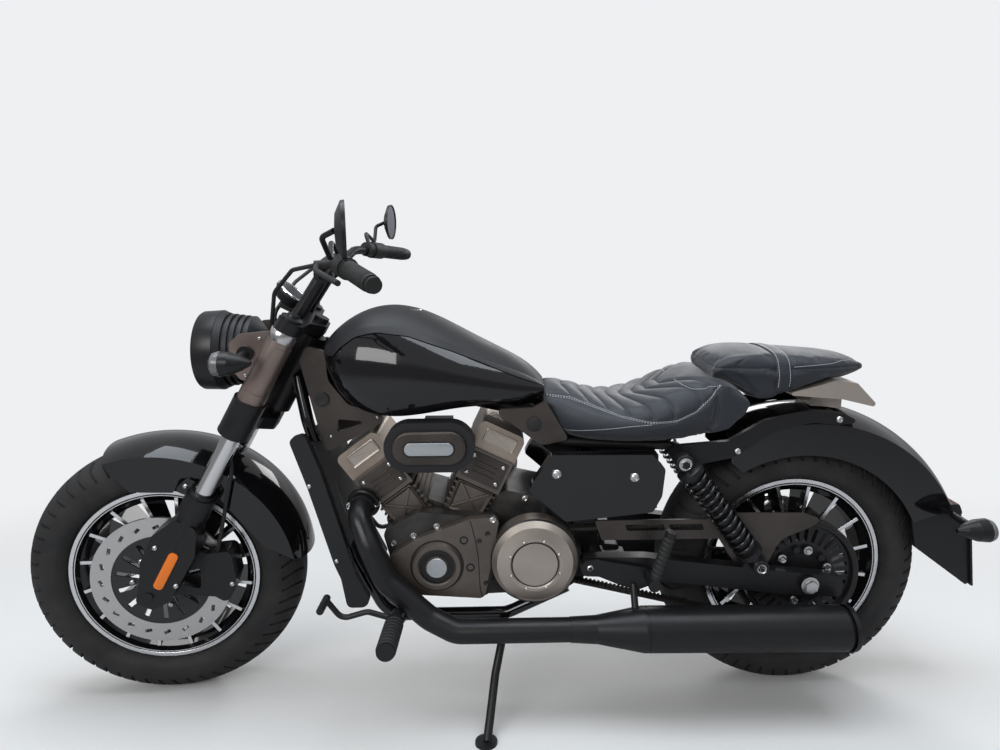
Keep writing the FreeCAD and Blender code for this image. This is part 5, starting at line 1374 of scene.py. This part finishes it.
WIPER = [(261, 20.8), (268, 21.4), (270, 27), (262, 29), (260, 29)]
LOW_RING = [(422, 30), (426.4, 36.2), (430, 36.6), (434, 36.2)]
HIGH_RING = [(508, 30), (511, 36.3), (514, 36.3), (515, 30)]
BANDS = [[(515, 29.4), (516, 30.1), (529, 30.1), (530, 29.4)],
         [(668, 29.4), (669, 30.1), (690, 30.1), (691, 29.4)]]
TUBE_CAP = [(717.4, 19.4), (722, 18.6), (723.5, 15), (723.5, 9), (721, 8), (721, 0)]
STEM_CAP = [(717.4, 17), (723, 16), (726, 12), (726, 0)]
turned("fork_rings", "fork", satin_black,
       [(ring, leg, UP) for leg in FORK_LEGS for ring in (WIPER, LOW_RING, HIGH_RING)], 40)
turned("fork_cover_bands", "fork", bright_steel,
       [(band, leg, UP) for leg in FORK_LEGS for band in BANDS])
turned("fork_caps", "fork", bright_steel,
       [(TUBE_CAP, leg, UP, 40) for leg in FORK_LEGS] + [(STEM_CAP, (-FORK_OFFSET, 0, 0), UP, 32)])
axle_end = bmesh.new()
add_bolt(axle_end, (0, -FORK_Y - 26, 0), RIGHT, 12, 8, socket=False)
settle(axle_end, "front_axle_nut", "fork", bright_steel)

# %% [markdown]
# The headlight's bowl is a chrome reflector behind its lens, with a lamp unit and four small
# lamps in it, and a thin trim ring round the front. The bullet lamps are black housings with a
# clear nose. All of it is round, so every part is one profile spun about the lamp's axis.

# %% Headlight and front indicators
LAMP = Vector((1262, 0, 862))
BOWL = [(129, 80), (108, 75.5), (82, 55), (68, 18), (68, 0)]
LAMP_UNIT = [(69, 17), (96, 17), (100, 15), (101, 10), (101, 0)]
SMALL_LAMP = [(72, 19), (112, 21), (114, 19), (112, 17), (90, 14), (90, 0)]
SMALL_LAMPS_OUT = 40
LAMP_TRIM = [(96, 92.1), (97, 93.2), (137, 91.2), (141, 88.6), (142, 85.6), (140, 84.4)]
FRONT_NOSE = [(60, 26.1), (63, 26.6), (75, 23.2), (82, 13.4), (84.6, 5), (84.9, 0)]
turned("headlight_bowl", "steered", chrome, [(BOWL, LAMP, AHEAD)], 64)
lamps = [(LAMP_UNIT, LAMP, AHEAD)]
for out in (LEFT, UP, RIGHT, -UP):
    lamps.append((SMALL_LAMP, LAMP + out * SMALL_LAMPS_OUT, AHEAD))
turned("headlight_unit", "steered", satin_black, lamps, 32)
turned("headlight_trim", "steered", satin_black, [(LAMP_TRIM, LAMP, AHEAD)], 80)
for side, word, way in SIDES:
    bolts("lamp_bracket_screws_" + word, "steered",
          [(1252, side * 91.7, 905), (1288, side * 91.7, 822)], way, 4.6, 3.4, dome=True)
turned("front_indicator_lenses", "steered", clear_lens,
       [(FRONT_NOSE, (1244, side * 186, 872), AHEAD) for side in (1, -1)], 40)

# %% [markdown]
# Hands and eyes: ribbed rubber grips, mirror glass set just inside its shell, and the round
# dial with its chromed ring. Ribs are spun as one wavy profile, which costs very few faces.


# %% Grips, mirrors and dial
def ribbed(profile, start, count, pitch, width, edge, base, top):
    """A profile with ribs after it: each as wide as given, with sides that slope over an edge."""
    for k in range(count):
        h = start + k * pitch
        profile += [(h, base), (h + edge, top), (h + width - edge, top), (h + width, base)]
    return profile


GRIP = ribbed([(54, 17.1), (55, 19.6), (59, 19.6), (60, 17.4)], 62, 13, 8, 6, 1, 17.3, 18.3)
grips = []
for side in (1, -1):
    grip_start = Vector((1046, 232 * side, 1080))
    grip_end = Vector((966, 388 * side, 1057))
    grips.append((GRIP, grip_start, grip_end - grip_start))
turned("grip_ribs", "steered", soft_rubber, grips, 28)
turned("mirror_glass", "steered", mirror_glass, [
    ([(2.2, 46.6), (2.8, 46.2), (3.0, 0)], (1006, side * 415, 1150), (-0.985, -0.17 * side, 0))
    for side in (1, -1)
], 64)

GAUGE_UP = 692 + 26 + 26
GAUGE_AHEAD = 40
DIAL = [(8.2, 36), (9, 35.5), (9, 0)]
DIAL_RING = [(6, 42.2), (8.6, 42), (10, 40), (9.6, 37), (8.2, 35.6)]
MARKS = 25
MARK_SWEEP_DEG = 260
MARK_OUT = 33
gauge_at = Vector((GAUGE_AHEAD, 0, GAUGE_UP))
gauge_way = Vector((-0.25, 0, 1)).normalized()
turned("gauge_dial", "fork", dial_face, [(DIAL, gauge_at, gauge_way)], 64)
turned("gauge_ring", "fork", chrome, [(DIAL_RING, gauge_at, gauge_way)], 64)
mark_mesh = bmesh.new()
dial_stand = aim(gauge_at + gauge_way * 9.1, gauge_way)
for k in range(MARKS):
    angle = math.radians((k / (MARKS - 1) - 0.5) * MARK_SWEEP_DEG)
    long = 6 if k % 4 == 0 else 3.2
    place = Matrix.Rotation(angle, 4, "Z") @ Matrix.Translation((MARK_OUT - long / 2, 0, 0))
    block(mark_mesh, dial_stand @ place, long, 0.8, 0.4)
settle(mark_mesh, "gauge_marks", "fork", thread)
print("pieces so far:", len(added))

# %% [markdown]
# Shock absorbers. A black spring winds round a black damper, between two eyes with bolts
# through them. The solid holds the spring as separate rings, which stand still well enough;
# the real one is a single wire, so it is made by spinning a small circle while it climbs.

# %% Shock absorbers
SHOCK_Y = 155
SHOCK_TOP = Vector((307, SHOCK_Y, 626))
SHOCK_END = Vector((124, SHOCK_Y, 377))
SHOCK_LENGTH = (SHOCK_END - SHOCK_TOP).length
EYES = ((SHOCK_TOP, 20, 9), (SHOCK_END, 18, 8))
BOLT_Y = SHOCK_Y + 13.8
UPPER_SEAT = 36
LOWER_SEAT = SHOCK_LENGTH - 52
DAMPER = [
    (16, 0), (16, 20), (22, 31), (34, 31), (UPPER_SEAT, 21), (70, 21), (72, 14), (150, 14),
    (152, 21.4), (LOWER_SEAT, 21.4), (LOWER_SEAT + 2, 30), (LOWER_SEAT + 14, 30),
    (LOWER_SEAT + 22, 12), (LOWER_SEAT + 40, 12), (LOWER_SEAT + 40, 0),
]
WIRE_R = 4.2
COIL_R = 25.5
COIL_TURNS = 12
COIL_STEPS = COIL_TURNS * 22
COIL_RISE = LOWER_SEAT - 38 - 2 * WIRE_R


def coil(whole, stand):
    """Adds a coil spring that winds down from the damper's upper seat."""
    wire = bmesh.new()
    across = Matrix.Translation((COIL_R, 0, 0)) @ Matrix.Rotation(math.pi / 2, 4, "X")
    bmesh.ops.create_circle(wire, segments=10, radius=WIRE_R, matrix=across)
    bmesh.ops.spin(
        wire, geom=list(wire.verts) + list(wire.edges), cent=(0, 0, 0), axis=(0, 0, 1),
        dvec=(0, 0, COIL_RISE / COIL_STEPS), angle=math.tau * COIL_TURNS, steps=COIL_STEPS)
    bmesh.ops.holes_fill(wire, edges=[e for e in wire.edges if e.is_boundary], sides=0)
    first = stand @ Matrix.Translation((0, 0, UPPER_SEAT + WIRE_R))
    bmesh.ops.transform(wire, matrix=first, verts=wire.verts)
    pour(wire, whole)


body_mesh = bmesh.new()
spring_mesh = bmesh.new()
for side in (1, -1):
    mirrored = Vector((1, side, 1))
    stand = aim(SHOCK_TOP * mirrored, SHOCK_END - SHOCK_TOP)
    spun(body_mesh, DAMPER, stand, 40)
    for place, eye_r, hole_r in EYES:
        profile = [(-14, hole_r), (-14, eye_r - 2), (-12, eye_r), (12, eye_r), (14, eye_r - 2),
                   (14, hole_r)]
        spun(body_mesh, profile, aim(place * mirrored, LEFT), 40, closed=True)
    coil(spring_mesh, stand)
settle(body_mesh, "shock_bodies", "machine", satin_black, replaced=("shocks",))
settle(spring_mesh, "shock_springs", "machine", gloss_black, sharp=80)

for side, word, way in SIDES:
    bolts("shock_bolts_" + word, "machine", [(SHOCK_TOP.x, side * BOLT_Y, SHOCK_TOP.z)], way,
          11.5, 9)
    bolts("shock_end_bolts_" + word, "machine", [(SHOCK_END.x, side * BOLT_Y, SHOCK_END.z)], way,
          8.5, 8)
    bolts("strut_bolts_" + word, "machine", [(170, side * 110.1, 634), (-62, side * 110.1, 707)],
          way, 8.5, 6, dome=True)

# %% [markdown]
# Frame screws. The side cover, the swingarm and the radiator's shroud each show one or two
# bright heads. They are laid on the surfaces by rays again. Two round rubber caps sit on the
# covers at the frame's neck and at the tank's rear end.

# %% Frame and cover screws
FRAME_NODES = (
    "side_covers", "swingarm", "pivot_plates", "radiator_shrouds", "neck_covers", "down_tubes",
    "belt_guard", "side_stand",
)
FRAME_SCREWS = (
    (588, 596, 12.0), (412, 586, 12.0), (474, 418, 6.5), (193, 392, 6.5), (1092, 385, 5.5),
    (1146, 566, 5.5), (1104, 668, 3.6), (996, 712, 3.6), (510, 372, 9.0),
)
frame_tree = tree_of([nodes[name] for name in FRAME_NODES])
for side, word, way in SIDES:
    screw_mesh = bmesh.new()
    for x, z, radius in FRAME_SCREWS:
        for place in spots(frame_tree, [(x, z)], side):
            add_dome(screw_mesh, place, way, radius, radius * 0.7)
    settle(screw_mesh, "frame_screws_" + word, "machine", bright_steel)
turned("neck_caps", "machine", soft_rubber, [
    ([(101.6, 16.2), (103.5, 15.4), (104.6, 12), (104.8, 0)], (637, 0, 699), LEFT),
    ([(79.6, 16.6), (81.4, 15.8), (82, 12), (81, 8), (80.4, 0)], (1121, 0, 756), LEFT),
], 40)

# %% [markdown]
# Tail lamps. The lamp behind the fender has a curved red lens, and the two bullets, which only
# blink, have a clear nose at the rear like the front ones. The blank plate hangs below them.

# %% Tail lamp, rear indicators and plate
TAIL_LENS = [(-412.5, 443.5), (-401.5, 441.5), (-383.5, 475.5), (-403.5, 475.5)]
REAR_NOSE = [(66, 25.9), (68, 26.3), (78, 22.6), (84.6, 13.2), (86.8, 5), (87.1, 0)]
PLATE_LEAN = 0.1194
lens_mesh = bmesh.new()
plate(lens_mesh, rounded(TAIL_LENS, 3), 120, -60, 1.5)
settle(lens_mesh, "tail_lamp_lens", "machine", red_lens)
turned("rear_indicator_lenses", "machine", clear_lens,
       [(REAR_NOSE, (-318, side * 168, 462), -AHEAD) for side in (1, -1)], 40)
plate_mesh = bmesh.new()
plate(plate_mesh, slab(-96, 96, 0, 132, 7), 1.6, 0, 0.5)
plate_turn = Matrix((
    (0, -math.cos(PLATE_LEAN), math.sin(PLATE_LEAN)),
    (1, 0, 0),
    (0, math.sin(PLATE_LEAN), math.cos(PLATE_LEAN)),
)).to_4x4()
plate_stand = Matrix.Translation((-425.6, 0, 289)) @ plate_turn
bmesh.ops.transform(plate_mesh, matrix=plate_stand, verts=plate_mesh.verts)
settle(plate_mesh, "plate_blank", "machine", satin_black)
bolts("plate_screws", "machine", [(-412.5, 70, 424), (-412.5, -70, 424)], (-1, 0, 0.12), 6, 4,
      dome=True)

# %% [markdown]
# Foot pegs carry ribbed rubber. The belt has teeth on its inside, which show through the slots
# of its guard. They are set along the two straight runs only: on the pulleys they lie in the
# pulley's own teeth, out of sight. Each run touches both pulleys' circles, which gives its ends.
# The fuel cap gets a thin black ring round its top.

# %% Peg rubber, belt teeth and fuel cap
TOOTH_PITCH = 10
FIRST_TOOTH = 62
TOOTHLESS = 110
BELT_MIDDLE_Y = 93
DRIVE_R = 50
DRIVEN_R = 134.6
driven = Vector((0, 0, REAR_RADIUS))
span = PALE_COVER - driven
run_slope = math.asin((DRIVEN_R - DRIVE_R) / span.length)
teeth_mesh = bmesh.new()
for side in (1, -1):
    angle = math.atan2(span.z, span.x) + side * (math.pi / 2 - run_slope)
    away = Vector((math.cos(angle), 0, math.sin(angle)))
    rear_end = driven + away * DRIVEN_R
    run = PALE_COVER + away * DRIVE_R - rear_end
    along = run.normalized()
    run_turn = Matrix((along, LEFT, along.cross(LEFT))).transposed().to_4x4()
    for k in range(int((run.length - TOOTHLESS) / TOOTH_PITCH)):
        place = rear_end + along * (FIRST_TOOTH + k * TOOTH_PITCH) - away * 1.4
        place.y = BELT_MIDDLE_Y
        block(teeth_mesh, Matrix.Translation(place) @ run_turn, 5.2, 21.6, 3.6)
settle(teeth_mesh, "belt_teeth", "machine", belt_rubber)

RIDER_PEG = ribbed([(10, 19.1)], 12, 9, 11, 8, 1.5, 19.2, 20.8)
PILLION_PEG = ribbed([(14, 12.1)], 18, 9, 11, 8, 1.5, 12.2, 13.6)
pegs = []
for side in (1, -1):
    pegs.append((RIDER_PEG, (944, side * 225, 300), (0, side * 113, 8), 32))
    pegs.append((PILLION_PEG, (372, side * 180, 352), (-36, side * 2, 124), 28))
turned("peg_rubbers", "machine", soft_rubber, pegs)
turned("fuel_cap_ring", "machine", satin_black, [
    ([(-1, 34.2), (1, 34.8), (2.2, 33.6), (2.2, 29), (1.2, 28.4)], (930, 0, 948), (-0.12, 0, 1)),
], 64)
print("pieces in all:", len(added))
